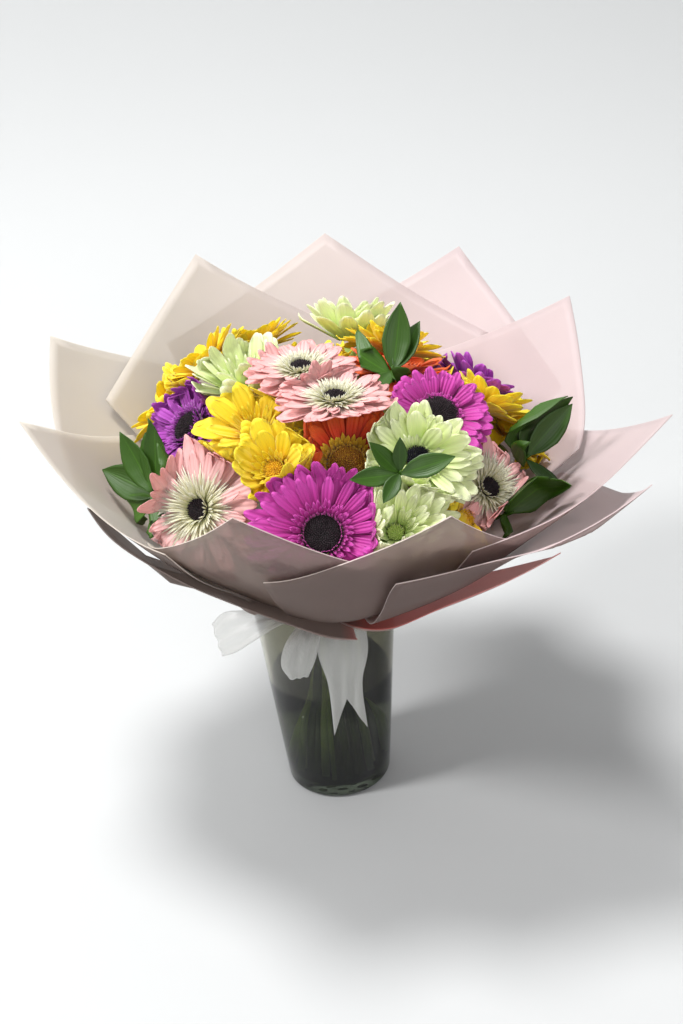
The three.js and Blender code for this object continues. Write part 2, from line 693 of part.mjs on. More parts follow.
// One petal: its cross-sections and tip, or nothing where there is no room for it
function petal(thing, row, angle, limits, random) {
  const { hub, top, count, width, lift, curl, reach } = row;
  const a = angle + 0.16 * (random() - 0.5) * 2 * Math.PI / count;
  const raise = (lift + 7 * (random() - 0.5)) * DEG;
  const out = thing.frame.u.clone().multiplyScalar(Math.cos(a)).addScaledVector(thing.frame.v, Math.sin(a));
  const side = thing.frame.axis.clone().cross(out);
  const start = local(thing.centre, thing.frame, 0, 0, top - 0.4).addScaledVector(out, hub);
  const heading = out.clone().multiplyScalar(Math.cos(raise));
  heading.addScaledVector(thing.frame.axis, Math.sin(raise));
  const length = (reach * (0.96 + 0.08 * random()) - hub) / Math.cos(raise * 0.6);
  const planes = [...limits.planes, ...sectorPlanes(thing, angle, Math.PI / count)];
  const within = { planes, stems: limits.stems };
  const line = blade(start, heading, thing.frame.axis, length, curl, within, width / 2);
  if (line.length < 6) return null;
  const tip = line[line.length - 1];
  const shares = row.index === 0 ? [[0.42, 0.82], [0.84, 0.9]] : [[0.62, 1]];
  const sections = shares.map(([t, w]) => crossSection(line, side, t, w * width, KEEL, within));
  return sections.every(hasBody) ? { sections, tip } : null;
}

// A row of petals on its own stretch of the hub, as one closed body
function petalRow(thing, row, limits, random) {
  const { hub, top, count } = row;
  const points = [];
  const faces = [];
  const add = (p) => points.push(p.x, p.y, p.z) / 3 - 1;
  const rim = (z) => Array.from({ length: count }, (_, i) => {
    const a = (i - 0.5) / count * 2 * Math.PI + row.turn;
    return add(local(thing.centre, thing.frame, hub * Math.cos(a), hub * Math.sin(a), z));
  });
  const upper = rim(top);
  const lower = rim(top - ROW.root);
  const middle = add(local(thing.centre, thing.frame, 0, 0, top + row.cone));
  const foot = add(local(thing.centre, thing.frame, 0, 0, top - ROW.root - 3));
  for (let i = 0; i < count; i++) {
    const n = (i + 1) % count;
    faces.push(middle, upper[i], upper[n], foot, lower[n], lower[i]);
    const made = petal(thing, row, i / count * 2 * Math.PI + row.turn, limits, random);
    if (!made) {
      faces.push(upper[i], lower[i], lower[n], upper[i], lower[n], upper[n]);
      continue;
    }
    const tip = add(made.tip);
    let [left, keel, right] = made.sections[0].map(add);
    faces.push(upper[i], right, upper[n], upper[i], left, right);
    faces.push(upper[i], lower[i], left, lower[i], keel, left);
    faces.push(lower[i], lower[n], keel);
    faces.push(upper[n], right, lower[n], lower[n], right, keel);
    made.sections.slice(1).forEach((section) => {
      const [l, k, r] = section.map(add);
      faces.push(left, l, r, left, r, right);
      faces.push(left, keel, k, left, k, l);
      faces.push(right, k, keel, right, r, k);
      [left, keel, right] = [l, k, r];
    });
    faces.push(left, tip, right, left, keel, tip, right, tip, keel);
  }
  return meshData(points, faces);
}

function petals(thing, limits) {
  const kind = KINDS[thing.kind];
  const random = draws(thing.seed);
  const parts = kind.rows.map(([count, width, lift, curl, share], index) => petalRow(thing, {
    index, count, width, lift, curl,
    reach: share * thing.radius,
    hub: kind.hub - index * ROW.narrower,
    top: ROW.first + index * ROW.rise,
    turn: index * Math.PI / count,
    cone: index === kind.rows.length - 1 ? kind.cone ?? 0 : 0,
  }, limits, random));
  if (kind.relief) parts.push(disc(thing, kind.relief, topOf(kind) - 0.6, 8));
  return fuse(parts);
}

function topOf(kind) {
  return ROW.first + (kind.rows.length - 1) * ROW.rise;
}

function leaves(thing, limits) {
  const parts = [];
  const f = thing.frame;
  const foot = local(thing.centre, f, 0, 0, -thing.neck + GAP);
  parts.push(ringed([
    tiltedRing(foot, f.axis, 1.6), tiltedRing(local(thing.centre, f, 0, 0, 2), f.axis, 1.8),
    [local(thing.centre, f, 0, 0, 7)],
  ]));
  thing.leaves.forEach(([angle, lift, length], i) => {
    const a = angle * DEG;
    const out = f.u.clone().multiplyScalar(Math.cos(a)).addScaledVector(f.v, Math.sin(a));
    const side = f.axis.clone().cross(out);
    const start = local(thing.centre, f, 0, 0, -6 + i * 1.7);
    const heading = out.clone().multiplyScalar(Math.cos(lift * DEG));
    heading.addScaledVector(f.axis, Math.sin(lift * DEG));
    const line = blade(start, heading, f.axis, length, -0.004, limits, 9);
    const body = leafBody(line, side, length * 0.42, limits);
    if (body) parts.push(body);
  });
  return fuse(parts);
}

// Vase and water

function outerRadius(z) {
  return mix(VASE.base, VASE.rim, z / VASE.height);
}

function lathe(profile) {
  const points = profile.map(([r, z]) => new THREE.Vector2(r, z));
  return new THREE.LatheGeometry(points, VASE.sides).rotateX(Math.PI / 2);
}

function vase() {
  const inner = (z) => outerRadius(z) - VASE.wall;
  const e = VASE.edge;
  return fromSolid(toSolid(lathe([
    [0, 0], [VASE.base - e, 0], [outerRadius(2) - 0.29 * e, 0.29 * e], [outerRadius(e), e],
    [VASE.rim, VASE.height - 1], [VASE.rim - VASE.wall / 2, VASE.height],
    [inner(VASE.height), VASE.height - 1], [inner(VASE.floor + 4), VASE.floor + 4],
    [inner(VASE.floor) - 4, VASE.floor], [0, VASE.floor],
  ])));
}

function water(things) {
  const inner = (z) => outerRadius(z) - VASE.wall - GAP;
  let solid = toSolid(lathe([
    [0, VASE.floor + GAP], [inner(VASE.floor) - 4, VASE.floor + GAP],
    [inner(VASE.floor + 4), VASE.floor + 4 + GAP],
    [inner(VASE.water), VASE.water], [0, VASE.water],
  ]));
  things.forEach((thing) => { solid = solid.subtract(toSolid(stemHole(thing))); });
  return fromSolid(solid);
}

// Ribbon: a band round the tie, a knot in front, two loops and a forked tail

// A strip of ribbon along a line, its width given by a direction at each point
function strip(stations) {
  const thick = 0.8;
  return ringed(stations.map(([p, across, out]) => {
    const place = vec(...p);
    const wide = vec(...across);
    const off = vec(...out).normalize().multiplyScalar(thick);
    return [
      place.clone().sub(wide), place.clone().add(wide),
      place.clone().add(wide).add(off), place.clone().sub(wide).add(off),
    ];
  }));
}

function ribbon() {
  const sides = 20;
  const inside = (TIE.radius + 5 * PAPER.pitch + PAPER.thick + GAP) / Math.cos(Math.PI / sides);
  const band = new THREE.LatheGeometry([
    [inside + 1.2, -7.9], [inside + 2.8, -7.9], [inside + 2.2, -2], [inside + 0.6, -2], [inside + 1.2, -7.9],
  ].map(([r, z]) => new THREE.Vector2(r, z)), sides).rotateX(Math.PI / 2);
  band.applyMatrix4(bouquet);
  return fuse([
    band,
    strip([
      [[4, -32.6, 185.4], [0, 0, 2.6], [-1, 0, 0]], [[-2, -43.3, 184.8], [7, 0, 0.7], [0, -0.3, 1]],
      [[-12, -60, 183.2], [9, 0, 0], [0, -0.3, 1]], [[-17, -70, 178], [11, 2, 0], [0, -1, 0.5]],
      [[-22, -76, 162], [11, 3, 0], [0, -1, 0]], [[-23, -74, 148], [6, 1, 0], [0, -1, 0]],
    ]),
    strip([
      [[2, -32.2, 185.4], [0, 0, 2.6], [-0.3, -1, 0]], [[-10, -38, 185.2], [-3, 4, 1], [0, 0, 1]],
      [[-40, -46, 183.2], [-5, 9, 0], [0, 0, 1]], [[-58, -42, 179.6], [-6, 12, -1], [-1, -0.5, 0.6]],
      [[-70, -41, 166], [-5, 11, 0], [-1, -0.5, 0]],
    ]),
    strip([
      [[9, -33.2, 185.4], [0, 0, 2.6], [-1, 0, 0]], [[11, -42, 184.7], [8, 0, 1], [0, -0.3, 1]],
      [[14, -61, 182.8], [14.5, 0, 0], [0, -0.3, 1]], [[14, -67, 172], [18, 0, -1], [0, -1, 0.3]],
      [[14, -68, 134], [13, 0, 0], [0, -1, 0]], [[14, -67, 104], [12, 0, 2], [0, -1, 0]],
    ]),
  ]);
}

// Assembly

const things = BLOOMS.map(([name, kind, place, facing, radius, colour, eye], i) => ({
  name, kind, radius, colour, eye, seed: 101 + 7 * i,
  centre: vec(...place), frame: frameOf(facing, i), neck: 7 + GAP,
  stem: { radius: 2.8, slot: 3.4, top: KINDS[kind].hub * 0.66, cup: true },
})).concat(SPRAYS.map(([name, place, facing, list]) => ({
  name, radius: 22, colour: LEAF, leaves: list,
  centre: vec(...place), frame: frameOf(facing, 0), neck: 20,
  stem: { radius: 1.8, slot: 3.4, top: 1.8, cup: false },
})));
assignSlots(things);

const group = new THREE.Group();

function addPiece(name, geometry, color, roughness = 0.6, extra = {}) {
  const mesh = new THREE.Mesh(geometry, new THREE.MeshStandardMaterial({
    color, roughness, metalness: 0, ...extra,
  }));
  mesh.name = name;
  group.add(mesh);
}

addPiece('vase', vase(), GLASS, 0.08, { transparent: true, opacity: 0.6 });
addPiece('water', water(things), WATER, 0.05, { transparent: true, opacity: 0.6 });
addPiece('stems', fuse(things.map(stem)), STEM);
things.forEach((thing, i) => {
  const limits = limitsOf(i, things);
  if (thing.leaves) {
    addPiece(thing.name, leaves(thing, limits), thing.colour, 0.4);
    return;
  }
  addPiece(thing.name, petals(thing, limits), thing.colour);
  if (thing.eye !== undefined) {
    const kind = KINDS[thing.kind];
    addPiece(`${thing.name}_disc`, disc(thing, kind.disc, topOf(kind) + 2 * GAP), thing.eye, 0.9);
  }
});
SHEETS.forEach((row) => addPiece(row[0], sheet(row), PAPER_TAUPE, 0.5));
addPiece('paper_collar_left', collar(COLLAR_LEFT), PAPER_TAUPE, 0.5);
addPiece('paper_collar_right', collar(COLLAR_RIGHT), PAPER_TAUPE, 0.5);
addPiece('ribbon', ribbon(), ORGANZA, 0.5);

export default group;
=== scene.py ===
# %% [markdown]
# # Gerberas in a glass vase
# A hand-tied bunch of gerberas stands in a tapered smoked glass vase. Square sheets of flower
# paper are wrapped round it with their corners up, and an organza ribbon is tied under them.
# The solid model is loaded first as a fixed frame, and finer pieces are built in its place.

import math

import bmesh
import bpy
import numpy as np
from mathutils import Matrix, Vector


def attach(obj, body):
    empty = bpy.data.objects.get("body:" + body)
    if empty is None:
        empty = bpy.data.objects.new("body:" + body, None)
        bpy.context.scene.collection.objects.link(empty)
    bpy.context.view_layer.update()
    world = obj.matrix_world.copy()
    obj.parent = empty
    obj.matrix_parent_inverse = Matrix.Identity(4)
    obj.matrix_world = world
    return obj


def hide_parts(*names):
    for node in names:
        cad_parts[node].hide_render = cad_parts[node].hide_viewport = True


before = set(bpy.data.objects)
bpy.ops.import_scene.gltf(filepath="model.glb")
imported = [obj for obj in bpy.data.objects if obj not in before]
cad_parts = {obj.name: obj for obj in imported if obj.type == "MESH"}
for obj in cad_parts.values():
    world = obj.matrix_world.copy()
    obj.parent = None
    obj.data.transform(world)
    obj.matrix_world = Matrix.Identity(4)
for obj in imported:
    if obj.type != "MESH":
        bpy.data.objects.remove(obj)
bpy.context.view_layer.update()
MM = 0.001
print("solid pieces:", len(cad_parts))

# %% [markdown]
# ## Materials
# Each finish starts from what the real one is. Colours are written as the hex values that a
# painter would pick, and one function turns them into the linear light that shaders work with.

# %% Colour and node helpers
def linear(hex_colour):
    """An sRGB hex colour as linear red, green, blue and alpha."""
    channels = [int(hex_colour[i:i + 2], 16) / 255 for i in (0, 2, 4)]
    return [c / 12.92 if c <= 0.04045 else ((c + 0.055) / 1.055) ** 2.4 for c in channels] + [1.0]


def add_node(tree, kind, settings=None, inputs=None, stops=()):
    """A node with its settings made, its sockets set or linked, and a ramp's (place, colour) stops."""
    node = tree.nodes.new(kind)
    for key, value in (settings or {}).items():
        setattr(node, key, value)
    for key, value in (inputs or {}).items():
        if isinstance(value, bpy.types.NodeSocket):
            tree.links.new(value, node.inputs[key])
        else:
            node.inputs[key].default_value = value
    if stops:
        while len(node.color_ramp.elements) < len(stops):
            node.color_ramp.elements.new(0.5)
        for element, (place, colour) in zip(node.color_ramp.elements, stops):
            element.position = place
            element.color = linear(colour)
    return node


def new_material(name):
    """A node material with nothing in its tree yet."""
    material = bpy.data.materials.new(name)
    material.use_nodes = True
    material.node_tree.nodes.clear()
    return material, material.node_tree


print("a pale pink petal in linear light:", [round(channel, 3) for channel in linear("FACDC9")])

# %% [markdown]
# A ray floret, the strap-shaped petal of a gerbera, is thin, matt and slightly translucent. It
# has three shallow grooves from end to end, changes in colour from root to tip, and no two are
# quite alike. The petals carry a UV map: U runs across and V from root to tip. An attribute
# named variation holds one random value for each petal, which makes it lighter or darker.

# %% Petal material
PETAL_GROOVES = 3.0
PETAL_GROOVE_DEPTH = 0.0004
# Noise steps across and along one petal: veins about 0.5 mm apart that run its whole length
VEIN_STEPS = (26.0, 1.4, 1.0)
PETAL_TRANSLUCENCY = 0.25


def petal_material(name, root, middle, tip):
    """Ray floret: a soft matt skin that lets a quarter of the light through."""
    material, tree = new_material(name)
    uv = add_node(tree, "ShaderNodeUVMap", {"uv_map": "petal"})
    axes = add_node(tree, "ShaderNodeSeparateXYZ", inputs={"Vector": uv.outputs["UV"]})
    own = add_node(tree, "ShaderNodeAttribute", {"attribute_name": "variation"})
    base = add_node(tree, "ShaderNodeValToRGB", inputs={"Fac": axes.outputs["Y"]},
                    stops=[(0.0, root), (0.45, middle), (1.0, tip)])
    stretch = add_node(tree, "ShaderNodeMapping", inputs={
        "Vector": uv.outputs["UV"], "Scale": VEIN_STEPS})
    veins = add_node(tree, "ShaderNodeTexNoise", inputs={
        "Vector": stretch.outputs["Vector"], "Scale": 1.0, "Detail": 3.0})
    shade = add_node(tree, "ShaderNodeMapRange", inputs={
        "Value": veins.outputs["Fac"], "From Min": 0.3, "From Max": 0.7, "To Min": 0.86, "To Max": 1.08})
    lighter = add_node(tree, "ShaderNodeMapRange", inputs={
        "Value": own.outputs["Fac"], "To Min": 0.9, "To Max": 1.08})
    both = add_node(tree, "ShaderNodeMath", {"operation": "MULTIPLY"}, {
        0: shade.outputs["Result"], 1: lighter.outputs["Result"]})
    colour = add_node(tree, "ShaderNodeHueSaturation", inputs={
        "Color": base.outputs["Color"], "Value": both.outputs["Value"]})
    wave = add_node(tree, "ShaderNodeMath", {"operation": "SINE"}, {
        0: add_node(tree, "ShaderNodeMath", {"operation": "MULTIPLY"}, {
            0: axes.outputs["X"], 1: PETAL_GROOVES * 2 * math.pi}).outputs["Value"]})
    bump = add_node(tree, "ShaderNodeBump", inputs={
        "Height": wave.outputs["Value"], "Strength": 0.45, "Distance": PETAL_GROOVE_DEPTH})
    skin = add_node(tree, "ShaderNodeBsdfPrincipled", inputs={
        "Base Color": colour.outputs["Color"], "Roughness": 0.62, "Sheen Weight": 0.25,
        "Sheen Roughness": 0.5, "Normal": bump.outputs["Normal"]})
    through = add_node(tree, "ShaderNodeBsdfTranslucent", inputs={
        "Color": colour.outputs["Color"], "Normal": bump.outputs["Normal"]})
    mixed = add_node(tree, "ShaderNodeMixShader", inputs={
        "Fac": PETAL_TRANSLUCENCY, 1: skin.outputs["BSDF"], 2: through.outputs["BSDF"]})
    add_node(tree, "ShaderNodeOutputMaterial", inputs={"Surface": mixed.outputs["Shader"]})
    return material


# Name, then the colours of root, middle and tip
PETALS = {
    "pink": petal_material("petal_pale_pink", "FFF2EA", "FACDC9", "F6B4B2"),
    "magenta": petal_material("petal_magenta", "A01076", "C82A9E", "D848B8"),
    "purple": petal_material("petal_purple", "7E1A80", "A92FAE", "C254C8"),
    "yellow": petal_material("petal_yellow", "F4BE00", "FFDF08", "FFEC30"),
    "green": petal_material("petal_lime_cream", "D6F284", "F0FCB4", "FBFFD8"),
    "orange": petal_material("petal_orange_red", "B82006", "EC4208", "FA7420"),
    "cream": petal_material("floret_cream", "DDE28E", "F8F4CC", "FFFDEC"),
    "ochre": petal_material("floret_ochre", "9A7008", "DCAA14", "F4D030"),
}
print("petal finishes:", ", ".join(PETALS))

# %% [markdown]
# The eye of a bloom is a tight head of florets, still closed in the middle. They are velvety and
# nearly black in the eyed kinds, so the light only catches their tips. A noise as fine as the
# florets gives each of them a tone of its own between a low and a high colour.

# %% Eye material
# Noise steps in a metre: one in about 1.1 mm, the size of a closed floret
FLORET_GRAIN = 900.0


def floret_material(name, low, high):
    """Closed disc florets: rough and velvety."""
    material, tree = new_material(name)
    place = add_node(tree, "ShaderNodeTexCoord")
    grain = add_node(tree, "ShaderNodeTexNoise", inputs={
        "Vector": place.outputs["Object"], "Scale": FLORET_GRAIN, "Detail": 2.0})
    colour = add_node(tree, "ShaderNodeValToRGB", inputs={"Fac": grain.outputs["Fac"]},
                      stops=[(0.35, low), (0.7, high)])
    skin = add_node(tree, "ShaderNodeBsdfPrincipled", inputs={
        "Base Color": colour.outputs["Color"], "Roughness": 0.85, "Sheen Weight": 0.08})
    add_node(tree, "ShaderNodeOutputMaterial", inputs={"Surface": skin.outputs["BSDF"]})
    return material


EYES = {
    "dark": floret_material("florets_dark_plum", "0C0508", "2E1622"),
    "black": floret_material("florets_blue_black", "05050C", "16162A"),
    "ochre": floret_material("florets_ochre", "7A3A06", "C79A18"),
    "yellow": floret_material("florets_golden", "C98F04", "F0CC1E"),
    "green": floret_material("florets_lime", "B5CC62", "DCEB9C"),
}
print("eye finishes:", ", ".join(EYES))

# %% [markdown]
# A ruscus leaf is leathery and waxy, deep green, with fine veins that run lengthwise and a paler
# midrib. It shares the petals' UV map, so the midrib is where U is a half, and its gloss is weak
# and broad because the wax is uneven.

# %% Leaf material
# Bands of the vein pattern across one leaf
LEAF_VEINS = 3.4


def leaf_material():
    """Ruscus leaf: a waxy skin over ribbed green."""
    material, tree = new_material("ruscus_leaf")
    uv = add_node(tree, "ShaderNodeUVMap", {"uv_map": "petal"})
    axes = add_node(tree, "ShaderNodeSeparateXYZ", inputs={"Vector": uv.outputs["UV"]})
    own = add_node(tree, "ShaderNodeAttribute", {"attribute_name": "variation"})
    base = add_node(tree, "ShaderNodeValToRGB", inputs={"Fac": own.outputs["Fac"]},
                    stops=[(0.0, "223C08"), (0.55, "33560C"), (1.0, "4B761C")])
    veins = add_node(tree, "ShaderNodeTexWave", {"bands_direction": "X"}, {
        "Vector": uv.outputs["UV"], "Scale": LEAF_VEINS, "Distortion": 0.6, "Detail": 1.0})
    middle = add_node(tree, "ShaderNodeMath", {"operation": "PINGPONG"}, {0: axes.outputs["X"], 1: 0.5})
    rib = add_node(tree, "ShaderNodeMapRange", inputs={
        "Value": middle.outputs["Value"], "From Min": 0.46, "From Max": 0.5, "To Min": 1.0, "To Max": 1.5})
    colour = add_node(tree, "ShaderNodeHueSaturation", inputs={
        "Color": base.outputs["Color"], "Value": rib.outputs["Result"]})
    bump = add_node(tree, "ShaderNodeBump", inputs={
        "Height": veins.outputs["Fac"], "Strength": 0.18, "Distance": 0.0004})
    skin = add_node(tree, "ShaderNodeBsdfPrincipled", inputs={
        "Base Color": colour.outputs["Color"], "Roughness": 0.46, "Specular IOR Level": 0.35,
        "Coat Weight": 0.05, "Coat Roughness": 0.3, "Normal": bump.outputs["Normal"]})
    add_node(tree, "ShaderNodeOutputMaterial", inputs={"Surface": skin.outputs["BSDF"]})
    return material


LEAF = leaf_material()
print("leaf finish:", LEAF.name)

# %% [markdown]
# A gerbera's stem is soft and juicy, with fine fibres from end to end, and stems in one vase run
# from deep to yellowish green. So the fibres are a noise that is stretched along the stem, and
# each stem's own value in the variation attribute moves it along the ramp.

# %% Stem material
# Noise steps in a metre: fibres about 2.4 mm wide and 33 mm long
FIBRE_STEPS = (420.0, 420.0, 30.0)


def stem_material():
    """Gerbera stem: soft green with lengthwise fibres."""
    material, tree = new_material("gerbera_stem")
    place = add_node(tree, "ShaderNodeTexCoord")
    stretch = add_node(tree, "ShaderNodeMapping", inputs={
        "Vector": place.outputs["Object"], "Scale": FIBRE_STEPS})
    fibre = add_node(tree, "ShaderNodeTexNoise", inputs={
        "Vector": stretch.outputs["Vector"], "Scale": 1.0, "Detail": 2.0})
    own = add_node(tree, "ShaderNodeAttribute", {"attribute_name": "variation"})
    tone = add_node(tree, "ShaderNodeMath", {"operation": "MULTIPLY_ADD"}, {
        0: fibre.outputs["Fac"], 1: 0.4, 2: own.outputs["Fac"]})
    colour = add_node(tree, "ShaderNodeValToRGB", inputs={"Fac": tone.outputs["Value"]},
                      stops=[(0.2, "2C4210"), (0.7, "86A83C"), (1.1, "D4EE84")])
    bump = add_node(tree, "ShaderNodeBump", inputs={
        "Height": fibre.outputs["Fac"], "Strength": 0.3, "Distance": 0.0005})
    skin = add_node(tree, "ShaderNodeBsdfPrincipled", inputs={
        "Base Color": colour.outputs["Color"], "Roughness": 0.55, "Normal": bump.outputs["Normal"]})
    add_node(tree, "ShaderNodeOutputMaterial", inputs={"Surface": skin.outputs["BSDF"]})
    return material


STEM = stem_material()
print("stem finish:", STEM.name)

# %% [markdown]
# Flower paper is a thin frosted film with a fine crinkle. One face is pale and the other taupe, and
# both turn pinker towards the right of the bunch. The taupe is partly the paper's own second tone
# and partly painted shade, darkened for the front sheets that face away from the light. The film
# is partly sheer, so three shaders are mixed: a satin skin, light that is scattered through it, and a
# clear share that shows what lies behind. The two collars are a pink paper of the same kind. The
# coral and dark red of their inner face are painted light and painted shade, and the taupe of their
# outer face is partly painted shade.

# %% Paper materials
# The colour runs across the bunch from this far left to this far right, in metres
PAPER_REACH = 0.2
# Noise steps in a metre: a crinkle about 22 mm across, and clouds of tone about 70 mm across
CRINKLE = 45.0
CLOUDS = 14.0


def paper_material(name, stops, translucency, clear, roughness):
    """Flower paper whose colour runs from one side of the bunch to the other."""
    material, tree = new_material(name)
    place = add_node(tree, "ShaderNodeTexCoord")
    axes = add_node(tree, "ShaderNodeSeparateXYZ", inputs={"Vector": place.outputs["Object"]})
    across = add_node(tree, "ShaderNodeMapRange", inputs={
        "Value": axes.outputs["X"], "From Min": -PAPER_REACH, "From Max": PAPER_REACH})
    base = add_node(tree, "ShaderNodeValToRGB", inputs={"Fac": across.outputs["Result"]}, stops=stops)
    cloudy = add_node(tree, "ShaderNodeTexNoise", inputs={
        "Vector": place.outputs["Object"], "Scale": CLOUDS, "Detail": 4.0})
    value = add_node(tree, "ShaderNodeMapRange", inputs={
        "Value": cloudy.outputs["Fac"], "To Min": 0.93, "To Max": 1.05})
    colour = add_node(tree, "ShaderNodeHueSaturation", inputs={
        "Color": base.outputs["Color"], "Value": value.outputs["Result"]})
    crinkle = add_node(tree, "ShaderNodeTexNoise", inputs={
        "Vector": place.outputs["Object"], "Scale": CRINKLE, "Detail": 5.0, "Roughness": 0.6})
    bump = add_node(tree, "ShaderNodeBump", inputs={
        "Height": crinkle.outputs["Fac"], "Strength": 0.16, "Distance": 0.002})
    skin = add_node(tree, "ShaderNodeBsdfPrincipled", inputs={
        "Base Color": colour.outputs["Color"], "Roughness": roughness, "Normal": bump.outputs["Normal"]})
    through = add_node(tree, "ShaderNodeBsdfTranslucent", inputs={
        "Color": colour.outputs["Color"], "Normal": bump.outputs["Normal"]})
    mixed = add_node(tree, "ShaderNodeMixShader", inputs={
        "Fac": translucency, 1: skin.outputs["BSDF"], 2: through.outputs["BSDF"]})
    nothing = add_node(tree, "ShaderNodeBsdfTransparent")
    sheer = add_node(tree, "ShaderNodeMixShader", inputs={
        "Fac": clear, 1: mixed.outputs["Shader"], 2: nothing.outputs["BSDF"]})
    add_node(tree, "ShaderNodeOutputMaterial", inputs={"Surface": sheer.outputs["Shader"]})
    return material


PAPER_PALE = paper_material(
    "flower_paper_pale_face", [(0.15, "F4EADC"), (0.85, "F1DCDC")],
    translucency=0.3, clear=0.36, roughness=0.5)
# Outer face of the sheets: the paper's taupe tone, darkened as painted shade for the shaded front sheets
PAPER_TAUPE_AND_SHADE = paper_material(
    "flower_paper_taupe_face_with_painted_shade", [(0.15, "75665F"), (0.85, "836E69")],
    translucency=0.4, clear=0.24, roughness=0.42)
# Inner face of the collars: pink paper; the coral is painted light through it and the dark red band is
# painted shade in the gap
PAPER_PINK_WITH_PAINTED_GLOW_AND_SHADE = paper_material(
    "flower_paper_pink_face_with_painted_glow_and_shade", [(0.53, "8E7E77"), (0.58, "C8625A"), (0.68, "EE8C86"), (0.9, "F8BEBA")],
    translucency=0.4, clear=0.12, roughness=0.5)
# Outer face of the collars: rose paper, taupe at the left, and that taupe is partly painted shade
PAPER_ROSE_AND_SHADE = paper_material(
    "flower_paper_rose_face_with_painted_shade", [(0.3, "94847C"), (0.9, "E2BAB4")],
    translucency=0.35, clear=0.2, roughness=0.45)
print("paper faces:", [face.name for face in (PAPER_PALE, PAPER_TAUPE_AND_SHADE, PAPER_PINK_WITH_PAINTED_GLOW_AND_SHADE, PAPER_ROSE_AND_SHADE)])

# %% [markdown]
# Organza is a sheer, crisp weave. Much of the light goes straight through between its threads,
# so the shader mixes clear with a pale satin, more satin where the cloth is seen edge on. The
# real threads are about 0.1 mm apart, too fine to show, so they are drawn 1 mm apart.

# %% Organza material
THREADS_PER_METRE = 1000.0
THREAD_COVER = (0.24, 0.42)
EDGE_COVER = 0.4


def organza_material():
    """Organza: pale satin threads with clear gaps between them."""
    material, tree = new_material("organza_ribbon")
    uv = add_node(tree, "ShaderNodeUVMap", {"uv_map": "weave"})
    axes = add_node(tree, "ShaderNodeSeparateXYZ", inputs={"Vector": uv.outputs["UV"]})
    threads = [
        add_node(tree, "ShaderNodeMath", {"operation": "SINE"}, {
            0: add_node(tree, "ShaderNodeMath", {"operation": "MULTIPLY"}, {
                0: axes.outputs[axis], 1: 2 * math.pi * THREADS_PER_METRE}).outputs["Value"]
        }).outputs["Value"]
        for axis in ("X", "Y")
    ]
    weave = add_node(tree, "ShaderNodeMath", {"operation": "ADD"}, {0: threads[0], 1: threads[1]})
    cover = add_node(tree, "ShaderNodeMapRange", inputs={
        "Value": weave.outputs["Value"], "From Min": -2.0, "From Max": 2.0,
        "To Min": THREAD_COVER[0], "To Max": THREAD_COVER[1]})
    edge = add_node(tree, "ShaderNodeLayerWeight", inputs={"Blend": 0.35})
    total = add_node(tree, "ShaderNodeMath", {"operation": "ADD", "use_clamp": True}, {
        0: cover.outputs["Result"],
        1: add_node(tree, "ShaderNodeMath", {"operation": "MULTIPLY"}, {
            0: edge.outputs["Facing"], 1: EDGE_COVER}).outputs["Value"]})
    clear = add_node(tree, "ShaderNodeBsdfTransparent")
    satin = add_node(tree, "ShaderNodeBsdfPrincipled", inputs={
        "Base Color": linear("D6D6D2"), "Roughness": 0.35, "Sheen Weight": 0.4})
    mixed = add_node(tree, "ShaderNodeMixShader", inputs={
        "Fac": total.outputs["Value"], 1: clear.outputs["BSDF"], 2: satin.outputs["BSDF"]})
    add_node(tree, "ShaderNodeOutputMaterial", inputs={"Surface": mixed.outputs["Shader"]})
    return material


ORGANZA = organza_material()
print("ribbon finish:", ORGANZA.name)

# %% [markdown]
# The vase is smoked soda-lime glass, and the light that comes through is tinted at each face it
# crosses. The foot is thick and looks nearly black, so the tint follows the height over the table.
# The water is clear with a trace of plant green.

# %% Glass and water materials
VASE_HEIGHT = 182.0
GLASS_IOR = 1.5
WATER_IOR = 1.33
# Noise steps in a metre: drifts about 33 mm across in the water
WATER_DRIFT = 30.0


def glass_material():
    """Smoked glass, smooth from the mould and darker towards the foot."""
    material, tree = new_material("smoked_glass")
    place = add_node(tree, "ShaderNodeTexCoord")
    axes = add_node(tree, "ShaderNodeSeparateXYZ", inputs={"Vector": place.outputs["Object"]})
    height = add_node(tree, "ShaderNodeMapRange", inputs={
        "Value": axes.outputs["Z"], "From Min": 0.0, "From Max": VASE_HEIGHT * MM})
    tint = add_node(tree, "ShaderNodeValToRGB", inputs={"Fac": height.outputs["Result"]}, stops=[
        (0.0, "323832"), (0.12, "6C7568"), (0.4, "AAAE9C"), (0.62, "A6A593"), (1.0, "AAA896")])
    skin = add_node(tree, "ShaderNodeBsdfPrincipled", inputs={
        "Base Color": tint.outputs["Color"], "Roughness": 0.0, "IOR": GLASS_IOR, "Transmission Weight": 1.0})
    add_node(tree, "ShaderNodeOutputMaterial", inputs={"Surface": skin.outputs["BSDF"]})
    return material


def water_material():
    """Flower water: clear, with the faintest green."""
    material, tree = new_material("vase_water")
    place = add_node(tree, "ShaderNodeTexCoord")
    faint = add_node(tree, "ShaderNodeTexNoise", inputs={
        "Vector": place.outputs["Object"], "Scale": WATER_DRIFT, "Detail": 2.0})
    tint = add_node(tree, "ShaderNodeValToRGB", inputs={"Fac": faint.outputs["Fac"]},
                    stops=[(0.3, "DADFD2"), (0.7, "E2E5D8")])
    skin = add_node(tree, "ShaderNodeBsdfPrincipled", inputs={
        "Base Color": tint.outputs["Color"], "Roughness": 0.0, "IOR": WATER_IOR, "Transmission Weight": 1.0})
    add_node(tree, "ShaderNodeOutputMaterial", inputs={"Surface": skin.outputs["BSDF"]})
    return material


GLASS = glass_material()
WATER = water_material()
print("materials:", len(bpy.data.materials))

